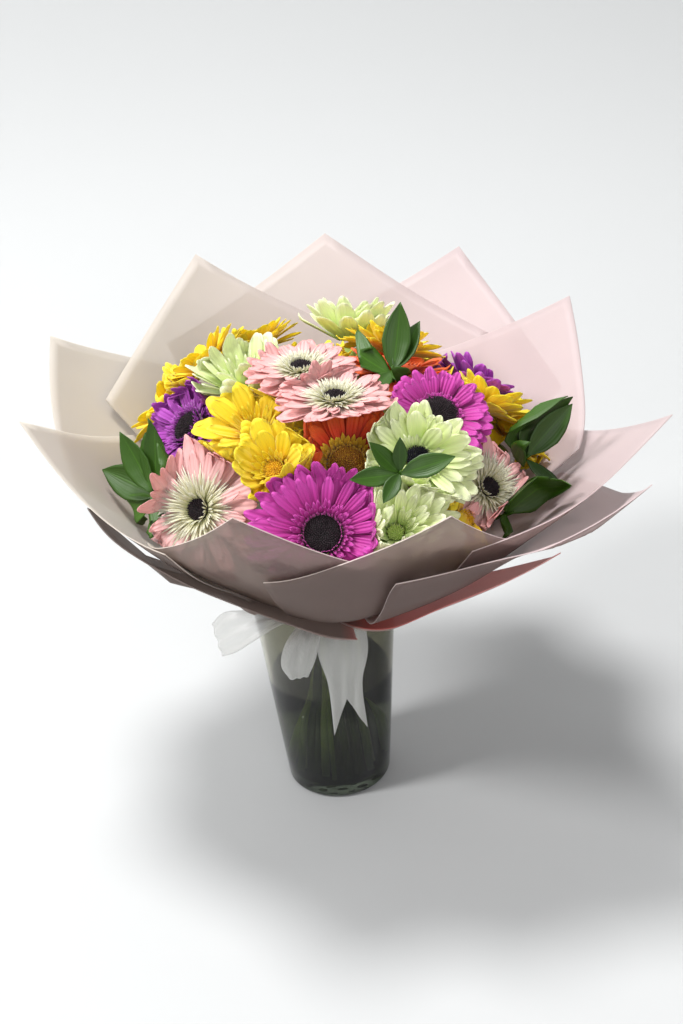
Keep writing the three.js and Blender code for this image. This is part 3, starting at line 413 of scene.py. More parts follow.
# %% [markdown]
# ## The bunch's own frame
# Everything above the vase is laid out from the tie, where the stems are pressed together. The
# bunch leans a little to the right, so it has a frame of its own there. The named sizes are those
# of the solid model, so paper, glass and water land on their solids, though two sheets at the
# front reach further. Some blooms and sprays, and the upper ends of their stems, stand up to
# 20 mm away from theirs.

# %% Tie and paper profile, in millimetres
TIE_PLACE = np.array([12.0, 0.0, 190.0])
TIE_LEAN = math.radians(3)
TIE_AXES = np.array([
    [math.cos(TIE_LEAN), 0.0, -math.sin(TIE_LEAN)],
    [0.0, 1.0, 0.0],
    [math.sin(TIE_LEAN), 0.0, math.cos(TIE_LEAN)],
])
TIE_SLOTS = 6.0
TIE_ROW = 2
PAPER_THICK = 0.8
# Room between two layers at the tie, and how much more there is at this distance from it
PAPER_PITCH = 1.6
PAPER_OPENING = 2.6
PAPER_OPEN_BY = 220.0
# Half of the turn that one sheet takes round the bunch, in degrees
PAPER_HALF = 40.0
# The solid paper has flat facets, which come this much nearer to the middle than its corners
PAPER_FACET = 0.993
# Petals that meet the paper obliquely keep more room than their own margin
PAPER_MARGIN = 1.4

# Height over the tie and radius of the innermost paper, at the back and at the front
FLARE_BACK = np.array([
    (-24, 30), (-12, 25), (0, 22), (10, 31), (17, 44), (24, 64), (38, 98), (66, 140),
    (104, 178), (150, 221), (200, 266), (250, 311)], dtype=float)
FLARE_FRONT = np.array([
    (-24, 30), (-12, 25), (0, 22), (9, 31), (14, 46), (18, 68), (22, 96), (45, 121),
    (85, 148), (130, 176), (180, 208), (235, 243)], dtype=float)
FRONT_AZIMUTH = math.radians(268)
FRONT_HALF = math.radians(75)


def to_bunch(points):
    """Points of the scene in the bunch's frame."""
    return (np.asarray(points) - TIE_PLACE) @ TIE_AXES.T


def from_bunch(points):
    """Points of the bunch's frame in the scene."""
    return np.asarray(points) @ TIE_AXES + TIE_PLACE


def smooth(t):
    """A soft step from 0 to 1."""
    t = np.clip(t, 0.0, 1.0)
    return t * t * (3 - 2 * t)


def flare_rows(azimuth):
    """Heights and radii of the innermost paper's profile at each azimuth."""
    away = np.abs((azimuth - FRONT_AZIMUTH + math.pi) % (2 * math.pi) - math.pi)
    share = smooth(1 - away / FRONT_HALF)[..., None]
    heights = (1 - share) * FLARE_BACK[:, 0] + share * FLARE_FRONT[:, 0]
    radii = (1 - share) * FLARE_BACK[:, 1] + share * FLARE_FRONT[:, 1]
    return heights, radii


def beyond_paper(points, margin):
    """How far each point lies outside the innermost paper, less a margin, in the bunch's frame."""
    azimuth = np.arctan2(points[:, 1], points[:, 0])
    heights, radii = flare_rows(azimuth)
    k = np.clip((heights[:, 1:-1] < points[:, 2:3]).sum(axis=1), TIE_ROW, len(FLARE_BACK) - 2)
    rows = np.arange(len(k))
    span = heights[rows, k + 1] - heights[rows, k]
    t = (points[:, 2] - heights[rows, k]) / span
    radius = radii[rows, k] + t * (radii[rows, k + 1] - radii[rows, k])
    return np.hypot(points[:, 0], points[:, 1]) - (radius * PAPER_FACET - margin * PAPER_MARGIN)


print("tie at", TIE_PLACE, "mm, paper reaches", FLARE_BACK[-1, 1], "mm out at the back")

# %% [markdown]
# Each bloom has a centre, the direction it faces and a radius, and belongs to a kind. The names
# are those of the solids. A leafy spray has a centre and a facing too, and a list of leaves, each
# with its angle round the facing, its lift off the face, both in degrees, and its length.

# %% Blooms and sprays
# name, kind, centre, facing, radius
BLOOMS = [
    ("yellow_back_left", "back", (-38, 94, 355), (-0.2, 0.35, 0.92), 44),
    ("yellow_far_left", "back", (-73, 52, 358), (-0.6, 0.15, 0.75), 42),
    ("green_cup", "cupped", (-42, 6, 356), (-0.15, -0.15, 0.97), 46),
    ("yellow_left", "broad", (-108, 62, 322), (-0.8, 0.1, 0.55), 42),
    ("purple_left", "wide", (-87, 0, 329), (-0.62, -0.38, 0.68), 50),
    ("yellow_cup", "broad", (-33, -58, 345), (-0.12, -0.42, 0.9), 48),
    ("yellow_low", "broad", (-21, -101, 335), (-0.3, -0.7, 0.62), 38),
    ("pink_left", "eyed", (-77, -88, 304), (-0.42, -0.74, 0.52), 58),
    ("pink_top", "eyed", (1, -29, 378), (0.02, -0.14, 0.98), 42),
    ("pink_middle", "eyed", (23, -72, 370), (0.05, -0.1, 0.99), 44),
    ("green_back", "cupped", (40, 104, 354), (0.1, 0.3, 0.95), 46),
    ("orange_front", "wide", (27, -98, 333), (0.05, -0.78, 0.62), 48),
    ("magenta_front", "wide", (7, -142, 305), (0.0, -0.78, 0.62), 52),
    ("green_front", "double", (55, -139, 299), (0.0, -0.7, 0.72), 48),
    ("green_right", "fine", (74, -106, 336), (0.22, -0.72, 0.66), 46),
    ("magenta_right", "wide", (94, -63, 349), (0.25, -0.55, 0.8), 40),
    ("yellow_right", "broad", (134, 0, 325), (0.5, 0.3, 0.81), 44),
    ("orange_back", "broad", (72, 12, 351), (0.28, 0.25, 0.92), 44),
    ("yellow_middle", "back", (6, 42, 352), (-0.05, 0.2, 0.98), 42),
    ("pink_right", "eyed", (126, -66, 290), (0.5, -0.62, 0.62), 50),
    ("yellow_low_right", "broad", (105, -93, 281), (0.5, -0.75, 0.42), 42),
    ("yellow_far_right", "back", (157, 24, 287), (0.7, 0.08, 0.7), 40),
    ("yellow_back", "back", (70, 60, 354), (0.3, 0.4, 0.87), 44),
    ("purple_back_right", "back", (132, 58, 317), (0.6, 0.4, 0.7), 44),
    ("yellow_rear", "back", (-20, 126, 299), (-0.3, 0.8, 0.52), 44),
    ("green_rear", "back", (44, 132, 294), (0.2, 0.8, 0.56), 44),
    ("orange_rear", "back", (101, 106, 297), (0.65, 0.6, 0.46), 44),
]
# name, centre, facing, leaves
SPRAYS = [
    ("leaves_left", (-113, -60, 306), (-0.48, -0.64, 0.62),
     [(172, 6, 62), (214, -4, 56), (12, 14, 58), (95, 26, 56), (132, 24, 52), (318, 10, 46)]),
    ("leaves_centre", (60, -148, 348), (0.1, -0.8, 0.6),
     [(8, 14, 38), (180, 10, 33), (132, 30, 30), (85, 36, 24), (232, 20, 26)]),
    ("leaves_top", (67, -14, 368), (0.0, -0.4, 0.92),
     [(150, 30, 52), (75, 48, 52), (50, 36, 42), (235, 16, 38), (290, 26, 34)]),
    ("leaves_right", (160, -36, 298), (0.6, -0.5, 0.66),
     [(84, 24, 78), (163, 36, 44), (48, 30, 62), (262, 26, 46), (20, 46, 52)]),
    ("leaves_low_right", (142, -72, 272), (0.6, -0.6, 0.52),
     [(20, 58, 76), (205, 30, 34), (100, 26, 44)]),
]
# Where one bloom's petals lie over a neighbour's: how far they reach over, in millimetres
LEADS = {
    ("pink_left", "yellow_low"): 15, ("orange_front", "pink_middle"): 13,
    ("magenta_right", "green_right"): 17, ("pink_right", "green_right"): 17,
    ("pink_right", "yellow_low_right"): 15, ("pink_left", "purple_left"): 6,
    ("magenta_front", "yellow_low"): 8, ("green_front", "green_right"): 6,
    ("green_cup", "pink_top"): 6, ("pink_left", "magenta_front"): 2,
    ("magenta_front", "green_front"): 5, ("leaves_left", "pink_left"): 6,
    ("leaves_left", "purple_left"): 6,
}
SPRAY_RADIUS = 22.0
# How far behind its centre a bloom or a spray meets its stem
NECK = 7.3
SPRAY_NECK = 20.0


def unit(vectors):
    """Vectors at length 1."""
    vectors = np.asarray(vectors, dtype=float)
    return vectors / np.maximum(np.linalg.norm(vectors, axis=-1, keepdims=True), 1e-9)


def frame_of(facing, turn):
    """Axes of a bloom: two across its face, the third the way it faces."""
    axis = unit(facing)
    side = unit(np.cross((0.0, 0.0, 1.0), axis))
    up = np.cross(axis, side)
    return np.array([
        side * math.cos(turn) + up * math.sin(turn),
        up * math.cos(turn) - side * math.sin(turn),
        axis])


THINGS = [
    {"name": name, "kind": kind, "centre": np.array(centre, dtype=float), "radius": radius,
     "axes": frame_of(facing, i), "neck": NECK}
    for i, (name, kind, centre, facing, radius) in enumerate(BLOOMS)
] + [
    {"name": name, "kind": "spray", "centre": np.array(centre, dtype=float), "radius": SPRAY_RADIUS,
     "axes": frame_of(facing, 0), "neck": SPRAY_NECK, "leaves": leaves}
    for name, centre, facing, leaves in SPRAYS
]
print(len(BLOOMS), "blooms and", len(SPRAYS), "sprays")

# %% [markdown]
# Blooms in a tight bunch press on each other, so their petals bend up where they meet. Each pair
# shares a plane between the two centres, tilted so that a petal slides up it and doesn't stop.
# The paper is the outermost limit. A petal grows from its root in short steps, and each step is
# moved back into the petal's own room before the next one is taken.

# %% Keeping petals inside their own room
PLANE_FLATTEN = 1.1
PLANE_SETBACK = 0.35
PAPER_SETBACK = 0.6
# Margins for the trial place of a step and for the place it takes
TRIAL_MARGIN, STEP_MARGIN = 0.8, 0.6
GROWTH_STEPS = 12


def planes_of(me):
    """Normals and distances of the planes between one bloom and all the others."""
    normals, limits = [], []
    for other in THINGS:
        if other is me:
            continue
        apart = other["centre"] - me["centre"]
        axis = unit(me["axes"][2] + other["axes"][2])
        normal = unit(apart + axis * (apart @ axis) * PLANE_FLATTEN)
        point = me["centre"] + apart * me["radius"] / (me["radius"] + other["radius"])
        lead = LEADS.get((me["name"], other["name"]), 0) - LEADS.get((other["name"], me["name"]), 0)
        normals.append(normal)
        limits.append(normal @ point + lead - PLANE_SETBACK)
    return np.array(normals), np.array(limits)


def push_back(points, planes, margin, passes=5):
    """Moves points back inside the planes and the paper."""
    normals, limits = planes
    points = points.copy()
    for _ in range(passes):
        for normal, limit in zip(normals, limits):
            over = np.maximum(points @ normal - limit + margin, 0.0)
            points -= over[:, None] * normal
        inner = to_bunch(points)
        over = np.maximum(beyond_paper(inner, margin + PAPER_SETBACK), 0.0)
        radius = np.maximum(np.hypot(inner[:, 0], inner[:, 1]), 1e-6)
        inner[:, :2] *= ((radius - over) / radius)[:, None]
        points = from_bunch(inner)
    return points


def grow(starts, headings, up, lengths, curls, planes):
    """Centre lines that start together and slide along whatever they meet."""
    step = (lengths / GROWTH_STEPS)[:, None]
    heading = unit(headings)
    lines = [starts]
    for _ in range(GROWTH_STEPS):
        there = push_back(lines[-1] + heading * step, planes, TRIAL_MARGIN)
        heading = unit(there - lines[-1])
        lines.append(push_back(lines[-1] + heading * step, planes, STEP_MARGIN))
        heading = unit(heading + up * curls[:, None] * step)
    return np.stack(lines, axis=1)


print("planes round the first bloom:", len(planes_of(THINGS[0])[1]))

# %% [markdown]
# ## Petals
# A petal is a strap with a rounded tip. It narrows to its root and has three shallow furrows. It
# is laid over its centre line as a grid, and a second skin a fraction of a millimetre below closes
# it into a thin solid, as a real petal has two faces and an edge.

# %% Grids and closed skins
def along(lines, shares):
    """Points and directions on each line at shares from 0 to 1 of its length."""
    last = lines.shape[1] - 1
    place = np.clip(shares, 0, 1) * last
    k = np.minimum(place.astype(int), last - 1)
    rest = (place - k)[..., None]
    rows = np.arange(len(lines)).reshape(-1, *([1] * (shares.ndim - 1)))
    here, there = lines[rows, k], lines[rows, k + 1]
    return here + (there - here) * rest, unit(there - here)


def skin_faces(rows, columns):
    """Faces of two skins of a grid closed round the edge; the second skin's points come last."""
    count = rows * columns

    def at(skin, i, j):
        return skin * count + i * columns + j

    faces = []
    for i in range(rows - 1):
        for j in range(columns - 1):
            faces.append((at(0, i, j), at(0, i, j + 1), at(0, i + 1, j + 1), at(0, i + 1, j)))
            faces.append((at(1, i, j), at(1, i + 1, j), at(1, i + 1, j + 1), at(1, i, j + 1)))
    edge = [(0, j) for j in range(columns - 1)] + [(i, columns - 1) for i in range(rows - 1)]
    edge += [(rows - 1, j) for j in range(columns - 1, 0, -1)] + [(i, 0) for i in range(rows - 1, 0, -1)]
    for n, a in enumerate(edge):
        b = edge[(n + 1) % len(edge)]
        faces.append((at(0, *b), at(0, *a), at(1, *a), at(1, *b)))
    return np.array(faces)


def mesh_object(name, points, faces, materials, uvs=None, uv_name="petal", variation=None,
                face_materials=None):
    """A smooth mesh from points in millimetres and faces, with a UV for each point where given."""
    mesh = bpy.data.meshes.new(name)
    mesh.from_pydata((np.asarray(points) * MM).tolist(), [], [tuple(map(int, f)) for f in faces])
    for material in materials:
        mesh.materials.append(material)
    corners = np.empty(len(mesh.loops), dtype=np.int32)
    mesh.loops.foreach_get("vertex_index", corners)
    if uvs is not None:
        layer = mesh.uv_layers.new(name=uv_name)
        layer.data.foreach_set("uv", np.asarray(uvs, dtype=np.float32)[corners].ravel())
    if variation is not None:
        store = mesh.attributes.new("variation", "FLOAT", "POINT")
        store.data.foreach_set("value", np.asarray(variation, dtype=np.float32))
    if face_materials is not None:
        mesh.polygons.foreach_set("material_index", np.asarray(face_materials, dtype=np.int32))
    mesh.polygons.foreach_set("use_smooth", np.full(len(mesh.polygons), True))
    mesh.update()
    piece = bpy.data.objects.new(name, mesh)
    bpy.context.collection.objects.link(piece)
    return piece


# A higher power squares the tip off, and a lower one points it
TIP_ROUNDNESS = 2.4
# Below 1, the rows crowd towards the tip
ROW_CROWDING = 0.92
# Half waves from the middle to each edge: one furrow in the middle and one near each edge
FURROW_TURNS = 2.5
SKIN_MARGIN = 0.1


def strap_grid(lines, sides, widths, planes, rows, columns, profile, tip, cup, furrow, thickness, twist):
    """Two skins of straps over their centre lines, as points of shape (petals, 2 * rows * columns)."""
    v = np.linspace(0, 1, rows)
    u = np.linspace(-1, 1, columns)
    reach = 1 - tip * np.abs(u) ** TIP_ROUNDNESS
    shares = v[None, :, None] ** ROW_CROWDING * reach[None, None, :] * np.ones((len(lines), 1, 1))
    centre, ahead = along(lines, shares)
    side = sides[:, None, None, :] * np.ones(centre.shape)
    across = unit(side - ahead * (side * ahead).sum(-1, keepdims=True))
    down = np.cross(across, ahead)
    turn = twist[:, None, None, None] * v[None, :, None, None]
    across, down = (across * np.cos(turn) + down * np.sin(turn),
                    down * np.cos(turn) - across * np.sin(turn))
    half = widths[:, None, None] / 2 * np.interp(v, *profile)[None, :, None]
    bow = cup * half * (1 - u ** 2)[None, None, :]
    # The furrows fade out at the root, and a little at the tip
    fade = np.minimum(1, 4 * v * (1.15 - v))[None, :, None]
    groove = furrow * np.cos(FURROW_TURNS * math.pi * u)[None, None, :] * fade
    top = centre + across * (half * u)[..., None] + down * (bow + groove)[..., None]
    flat = push_back(top.reshape(-1, 3), planes, SKIN_MARGIN, passes=3).reshape(top.shape)
    below = flat + down * thickness
    return np.concatenate([flat.reshape(len(lines), -1, 3), below.reshape(len(lines), -1, 3)], axis=1)


def strap_uvs(rows, columns):
    """UVs of both skins: U across from 0 to 1, V from root to tip."""
    v, u = np.meshgrid(np.linspace(0, 1, rows), np.linspace(0, 1, columns), indexing="ij")
    one = np.stack([u.ravel(), v.ravel()], axis=1)
    return np.concatenate([one, one])


print("a petal grid of 10 by 7 points has", len(skin_faces(10, 7)), "faces")

# %% [markdown]
# A ring of petals is drawn with one random generator. Each petal gets its own angle, lift, length,
# curl, width and twist, all a little off the ring's, as no gerbera is a perfect wheel. The petal
# then grows along its centre line and is given its width and its skins.

# %% One ring of petals
# Shares of the length, and shares of the full width there
STRAP = ([0, 0.18, 0.5, 0.78, 0.93, 1.0], [0.45, 0.7, 0.94, 1.0, 0.93, 0.72])
FLORET = ([0, 0.3, 0.7, 1.0], [0.5, 0.8, 1.0, 0.45])
# How far the corners of a tip fall short of its middle, as a share of the length
PETAL_TIP = 0.15
LENGTH_SPREAD = 0.07
CURL_SPREAD = 0.004
WIDTH_SPREAD = 0.1


def petal_ring(thing, planes, draw, count, width, lift, curl, share, hub, top, rows, columns,
               shape, cup, furrow, thickness, turn, lift_spread, twist):
    """Points of one ring of petals round a bloom."""
    u, v, axis = thing["axes"]
    angle = turn + (np.arange(count) + draw.random(count) - 0.5) / count * 2 * math.pi
    raised = np.radians(lift + lift_spread * (draw.random(count) - 0.5))
    out = np.cos(angle)[:, None] * u + np.sin(angle)[:, None] * v
    sides = np.cross(axis, out)
    starts = thing["centre"] + axis * top + out * hub
    heading = out * np.cos(raised)[:, None] + axis * np.sin(raised)[:, None]
    reach = thing["radius"] * share * (1 + LENGTH_SPREAD * (2 * draw.random(count) - 1))
    lengths = (reach - hub) / np.cos(raised * 0.6)
    curls = curl + CURL_SPREAD * (draw.random(count) - 0.5)
    lines = grow(starts, heading, axis, lengths, curls, planes)
    widths = width * (1 - WIDTH_SPREAD + 2 * WIDTH_SPREAD * draw.random(count))
    turns = np.radians(twist) * (2 * draw.random(count) - 1)
    return strap_grid(lines, sides, widths, planes, rows, columns, shape, PETAL_TIP, cup, furrow,
                      thickness, turns)


# Random values spread this far above each ring's own tone
TONE_SPREAD = 0.5


def gather(rings, draw):
    """All rings of one bloom as points, faces, UVs and the random value of each petal."""
    points, faces, uvs, variation = [], [], [], []
    offset = 0
    for grid, rows, columns, tone in rings:
        block = skin_faces(rows, columns)
        size = grid.shape[1]
        one = strap_uvs(rows, columns)
        for petal in grid:
            points.append(petal)
            faces.append(block + offset)
            uvs.append(one)
            variation.append(np.full(size, tone + TONE_SPREAD * draw.random()))
            offset += size
    return np.concatenate(points), np.concatenate(faces), np.concatenate(uvs), np.concatenate(variation)


print("a floret is widest at", FLORET[0][2], "of its length, a petal at", STRAP[0][3])

# %% [markdown]
# A gerbera has rings of ray florets, the longest outside. Between them and the eye many kinds
# carry a fringe of short narrow florets. Each ring is written as count, width, lift in degrees,
# curl, share of the radius, start radius and start height, and the finish it takes.

# %% Rings of each kind
RINGS = {
    "eyed": [
        (20, 11.6, 4, -0.006, 1.00, 9.5, -1.2, "main"), (17, 10.8, 13, -0.005, 0.90, 9.5, 0.4, "main"),
        (14, 8.6, 22, -0.006, 0.72, 9.0, 1.6, "main"), (62, 1.9, 18, -0.010, 0.54, 8.0, 2.2, "fringe"),
        (56, 1.7, 30, -0.010, 0.46, 7.6, 2.8, "fringe"), (52, 1.5, 46, -0.012, 0.36, 7.4, 3.2, "fringe"),
        (40, 1.3, 70, -0.012, 0.26, 7.0, 3.4, "fringe")],
    "fine": [
        (22, 12.6, 6, -0.005, 1.00, 9.5, -1.2, "main"), (20, 12.0, 15, -0.004, 0.92, 9.5, 0.4, "main"),
        (16, 9.6, 27, -0.005, 0.74, 9.0, 1.6, "main"), (34, 3.4, 38, -0.010, 0.40, 8.2, 2.6, "fringe")],
    "wide": [
        (28, 10.0, 8, -0.004, 1.00, 14.0, -1.2, "main"), (26, 9.4, 15, -0.004, 0.93, 14.0, 0.4, "main"),
        (22, 7.6, 23, -0.004, 0.78, 14.0, 1.6, "main"), (40, 3.4, 34, -0.008, 0.44, 13.6, 2.6, "fringe"),
        (50, 2.2, 58, -0.010, 0.36, 13.2, 3.2, "fringe"),
        (54, 1.5, 80, 0.0, 0.31, 11.8, 3.6, "fringe")],
    "broad": [
        (13, 16.5, 12, -0.005, 1.00, 8.0, -1.2, "main"), (12, 16.0, 26, -0.004, 0.95, 8.0, 0.4, "main"),
        (10, 13.0, 42, -0.004, 0.78, 7.6, 1.6, "main"), (16, 4.6, 58, -0.004, 0.42, 6.8, 2.4, "main"),
        (26, 2.4, 70, 0.0, 0.28, 6.2, 3.0, "fringe")],
    "cupped": [
        (12, 17.0, 32, 0.000, 1.00, 8.0, -1.2, "main"), (11, 16.5, 44, 0.001, 0.95, 8.0, 0.4, "main"),
        (9, 13.0, 58, 0.002, 0.80, 7.4, 1.6, "main"), (16, 4.6, 68, 0.002, 0.50, 6.6, 2.4, "main"),
        (24, 2.4, 76, 0.0, 0.30, 6.0, 3.0, "fringe")],
    "back": [
        (15, 14.5, 14, -0.005, 1.00, 8.0, -1.2, "main"), (14, 14.0, 26, -0.005, 0.93, 8.0, 0.4, "main"),
        (12, 11.5, 40, -0.004, 0.76, 7.6, 1.6, "main"), (16, 4.6, 56, -0.002, 0.44, 6.8, 2.6, "main")],
    "double": [
        (22, 11.5, 8, -0.005, 1.00, 8.5, -1.2, "main"), (20, 11.0, 19, -0.004, 0.95, 8.5, 0.4, "main"),
        (18, 10.5, 30, -0.002, 0.86, 8.0, 1.6, "main"), (16, 9.5, 42, 0.0, 0.74, 7.4, 2.6, "main"),
        (16, 7.2, 54, 0.001, 0.60, 6.6, 3.4, "main"), (16, 4.6, 66, 0.002, 0.44, 5.8, 4.0, "main")],
}
EYE_RADIUS = {"eyed": 8.0, "fine": 8.2, "wide": 13.2, "broad": 6.4, "cupped": 6.2, "back": 6.6, "double": 5.4}
FLORETS = {"eyed": 150, "fine": 150, "wide": 330, "broad": 90, "cupped": 80, "back": 80, "double": 60}

# Fringe and eye finishes, by the bloom's colour or by its own name
FRINGE = {"pink": "cream", "magenta": "magenta", "purple": "purple", "yellow": "yellow",
          "green": "green", "orange": "orange", "orange_front": "ochre"}
EYE = {"pink": "dark", "magenta": "dark", "purple": "dark", "yellow": "yellow", "green": "green",
       "orange": "ochre", "green_right": "black"}
print("rings of each kind:", {kind: len(rings) for kind, rings in RINGS.items()})

# %% [markdown]
# A wide petal shows its bend, its cup and its furrows, so it gets a fine grid. A floret of the
# fringe is a millimetre or two wide, and a coarse grid is enough for it. The outermost ring gets
# the lighter tones. Main petals and fringe are two pieces, because their finishes differ.

# %% Build the petals
# Below these widths a petal gets the middle or the coarse grid
WIDE, SLIM = 7.0, 3.5
FINE_GRID, MIDDLE_GRID, COARSE_GRID = (10, 7), (6, 5), (5, 3)
# Cup, thickness, spread of the lift and twist of each finish
MANNER = {
    "main": {"cup": 0.16, "thickness": 0.4, "lift_spread": 8.0, "twist": 9.0},
    "fringe": {"cup": 0.12, "thickness": 0.3, "lift_spread": 14.0, "twist": 16.0},
}
FURROW = 0.2
# Each ring is turned by this many radians against the one outside it
RING_TURN = 2.4
OUTER_TONE, INNER_TONE = 0.5, 0.25
RANDOM_SEED = 7


def colour_of(name):
    """The colour is the first word of a bloom's name."""
    return name.split("_")[0]


def build_petals(thing, draw):
    """The petals of one bloom as an object for each finish."""
    planes = planes_of(thing)
    groups = {}
    for index, (count, width, lift, curl, share, hub, top, finish) in enumerate(RINGS[thing["kind"]]):
        rows, columns = COARSE_GRID if width < SLIM else MIDDLE_GRID if width < WIDE else FINE_GRID
        grid = petal_ring(
            thing, planes, draw, count, width, lift, curl, share, hub, top, rows, columns,
            shape=FLORET if width < WIDE else STRAP, furrow=0.0 if width < WIDE else FURROW,
            turn=index * RING_TURN, **MANNER[finish])
        tone = OUTER_TONE if index == 0 else INNER_TONE
        groups.setdefault(finish, []).append((grid, rows, columns, tone))
    pieces = {}
    for finish, rings in groups.items():
        colour = colour_of(thing["name"])
        key = colour if finish == "main" else FRINGE.get(thing["name"], FRINGE[colour])
        points, faces, uvs, variation = gather(rings, draw)
        label = "petals" if finish == "main" else "fringe"
        pieces[finish] = mesh_object(
            f"{thing['name']}_{label}", points, faces, [PETALS[key]], uvs, variation=variation)
    return pieces


draw = np.random.default_rng(RANDOM_SEED)
petal_faces = 0
for thing in THINGS[:len(BLOOMS)]:
    for finish, piece in build_petals(thing, draw).items():
        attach(piece, "root")
        if finish == "main":
            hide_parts(thing["name"])
        petal_faces += len(piece.data.polygons)
print("petal faces in all:", petal_faces)

# %% [markdown]
# The eye is a low dome packed with closed florets. They stand in the spiral that plants grow in,
# each turned from the last by the golden angle, so Geometry Nodes can place them by number: the
# distance from the middle grows with the square root of the number. Its inputs are named sizes.

# %% Geometry Nodes: florets on a dome
GOLDEN_ANGLE = math.pi * (3 - math.sqrt(5))
# The dome falls with this power of the distance, from a middle that is hollowed by another
DOME_POWER = 2.4
HOLLOW_POWER = 3.0
HOLLOW_DEPTH = 0.35
# A floret is a five-sided bud, sized in its own widths
BUD = {"Vertices": 5, "Side Segments": 1, "Fill Segments": 1,
       "Radius Top": 0.35, "Radius Bottom": 0.62, "Depth": 2.2}
SMALLEST_BUD, LARGEST_BUD = 0.8, 1.2
TREE_INPUTS = {
    "Geometry": "NodeSocketGeometry", "Count": "NodeSocketInt", "Radius": "NodeSocketFloat",
    "Rise": "NodeSocketFloat", "Floret": "NodeSocketFloat", "Seed": "NodeSocketInt",
    "Finish": "NodeSocketMaterial"}


def floret_tree():
    """A node group that fills a dome with florets; sizes in metres."""
    tree = bpy.data.node_groups.new("florets_on_dome", "GeometryNodeTree")
    for label, kind in TREE_INPUTS.items():
        tree.interface.new_socket(name=label, in_out="INPUT", socket_type=kind)
    tree.interface.new_socket(name="Geometry", in_out="OUTPUT", socket_type="NodeSocketGeometry")
    given = add_node(tree, "NodeGroupInput").outputs
    number = add_node(tree, "GeometryNodeInputIndex").outputs["Index"]
    # Each line is one step of the sum: its name, what it does, and what it takes
    values = {"number": number, "count": given["Count"], "radius": given["Radius"], "rise": given["Rise"]}
    for name, operation, *taken in (
            ("middle of floret", "ADD", "number", 0.5),
            ("area", "DIVIDE", "middle of floret", "count"),
            ("share", "SQRT", "area"),
            ("angle", "MULTIPLY", "number", GOLDEN_ANGLE),
            ("far", "MULTIPLY", "share", "radius"),
            ("cosine", "COSINE", "angle"),
            ("sine", "SINE", "angle"),
            ("x", "MULTIPLY", "far", "cosine"),
            ("y", "MULTIPLY", "far", "sine"),
            ("drop", "POWER", "share", DOME_POWER),
            ("dome", "SUBTRACT", 1.0, "drop"),
            ("nearness", "SUBTRACT", 1.0, "share"),
            ("closeness", "POWER", "nearness", HOLLOW_POWER),
            ("hollow", "MULTIPLY", "closeness", HOLLOW_DEPTH),
            ("shape", "SUBTRACT", "dome", "hollow"),
            ("z", "MULTIPLY", "shape", "rise")):
        values[name] = add_node(tree, "ShaderNodeMath", {"operation": operation}, {
            socket: values.get(item, item) for socket, item in enumerate(taken)}).outputs["Value"]
    place = add_node(tree, "ShaderNodeCombineXYZ", inputs={
        "X": values["x"], "Y": values["y"], "Z": values["z"]})
    points = add_node(tree, "GeometryNodePoints", inputs={
        "Count": given["Count"], "Position": place.outputs["Vector"]})
    cone = add_node(tree, "GeometryNodeMeshCone", {"fill_type": "NGON"}, BUD)
    # A floret leans outwards by its distance from the middle, against one radius upwards
    lean = add_node(tree, "ShaderNodeVectorMath", {"operation": "MULTIPLY"}, {
        0: place.outputs["Vector"], 1: (1.0, 1.0, 0.0)})
    upwards = add_node(tree, "ShaderNodeCombineXYZ", inputs={"Z": given["Radius"]})
    towards = add_node(tree, "ShaderNodeVectorMath", {"operation": "ADD"}, {
        0: lean.outputs["Vector"], 1: upwards.outputs["Vector"]})
    turn = add_node(tree, "FunctionNodeAlignRotationToVector", {"axis": "Z"}, {
        "Vector": towards.outputs["Vector"]})
    size = add_node(tree, "FunctionNodeRandomValue", {"data_type": "FLOAT"}, {
        2: SMALLEST_BUD, 3: LARGEST_BUD, "ID": number, "Seed": given["Seed"]})
    scale = add_node(tree, "ShaderNodeMath", {"operation": "MULTIPLY"}, {
        0: size.outputs[1], 1: given["Floret"]})
    placed = add_node(tree, "GeometryNodeInstanceOnPoints", inputs={
        "Points": points.outputs[0], "Instance": cone.outputs["Mesh"],
        "Rotation": turn.outputs["Rotation"], "Scale": scale.outputs["Value"]})
    real = add_node(tree, "GeometryNodeRealizeInstances", inputs={"Geometry": placed.outputs["Instances"]})
    joined = add_node(tree, "GeometryNodeJoinGeometry", inputs={"Geometry": real.outputs["Geometry"]})
    tree.links.new(given["Geometry"], joined.inputs["Geometry"])
    finished = add_node(tree, "GeometryNodeSetMaterial", inputs={
        "Geometry": joined.outputs["Geometry"], "Material": given["Finish"]})
    add_node(tree, "NodeGroupOutput", inputs={"Geometry": finished.outputs["Geometry"]})
    return tree


FLORET_TREE = floret_tree()
FLORET_INPUTS = {item.name: item.identifier for item in FLORET_TREE.interface.items_tree
                 if item.in_out == "INPUT"}
print("inputs of the floret tree:", ", ".join(FLORET_INPUTS))

# %% [markdown]
# The dome under the florets, the vase and the water are turned bodies, and the stems are tubes.
# All are rings of points joined by faces, with a single point for a pole at each end, so that
# every body is closed and watertight.

# %% Round bodies: lathes and tubes
def lathe(profile, sides):
    """A closed body turned about the Z axis from (radius, height) points; radius 0 makes a pole."""
    points, rings = [], []
    for radius, height in profile:
        if radius == 0:
            rings.append([len(points)])
            points.append((0.0, 0.0, height))
            continue
        rings.append(list(range(len(points), len(points) + sides)))
        for k in range(sides):
            a = 2 * math.pi * k / sides
            points.append((radius * math.cos(a), radius * math.sin(a), height))
    return np.array(points), join_rings(rings)


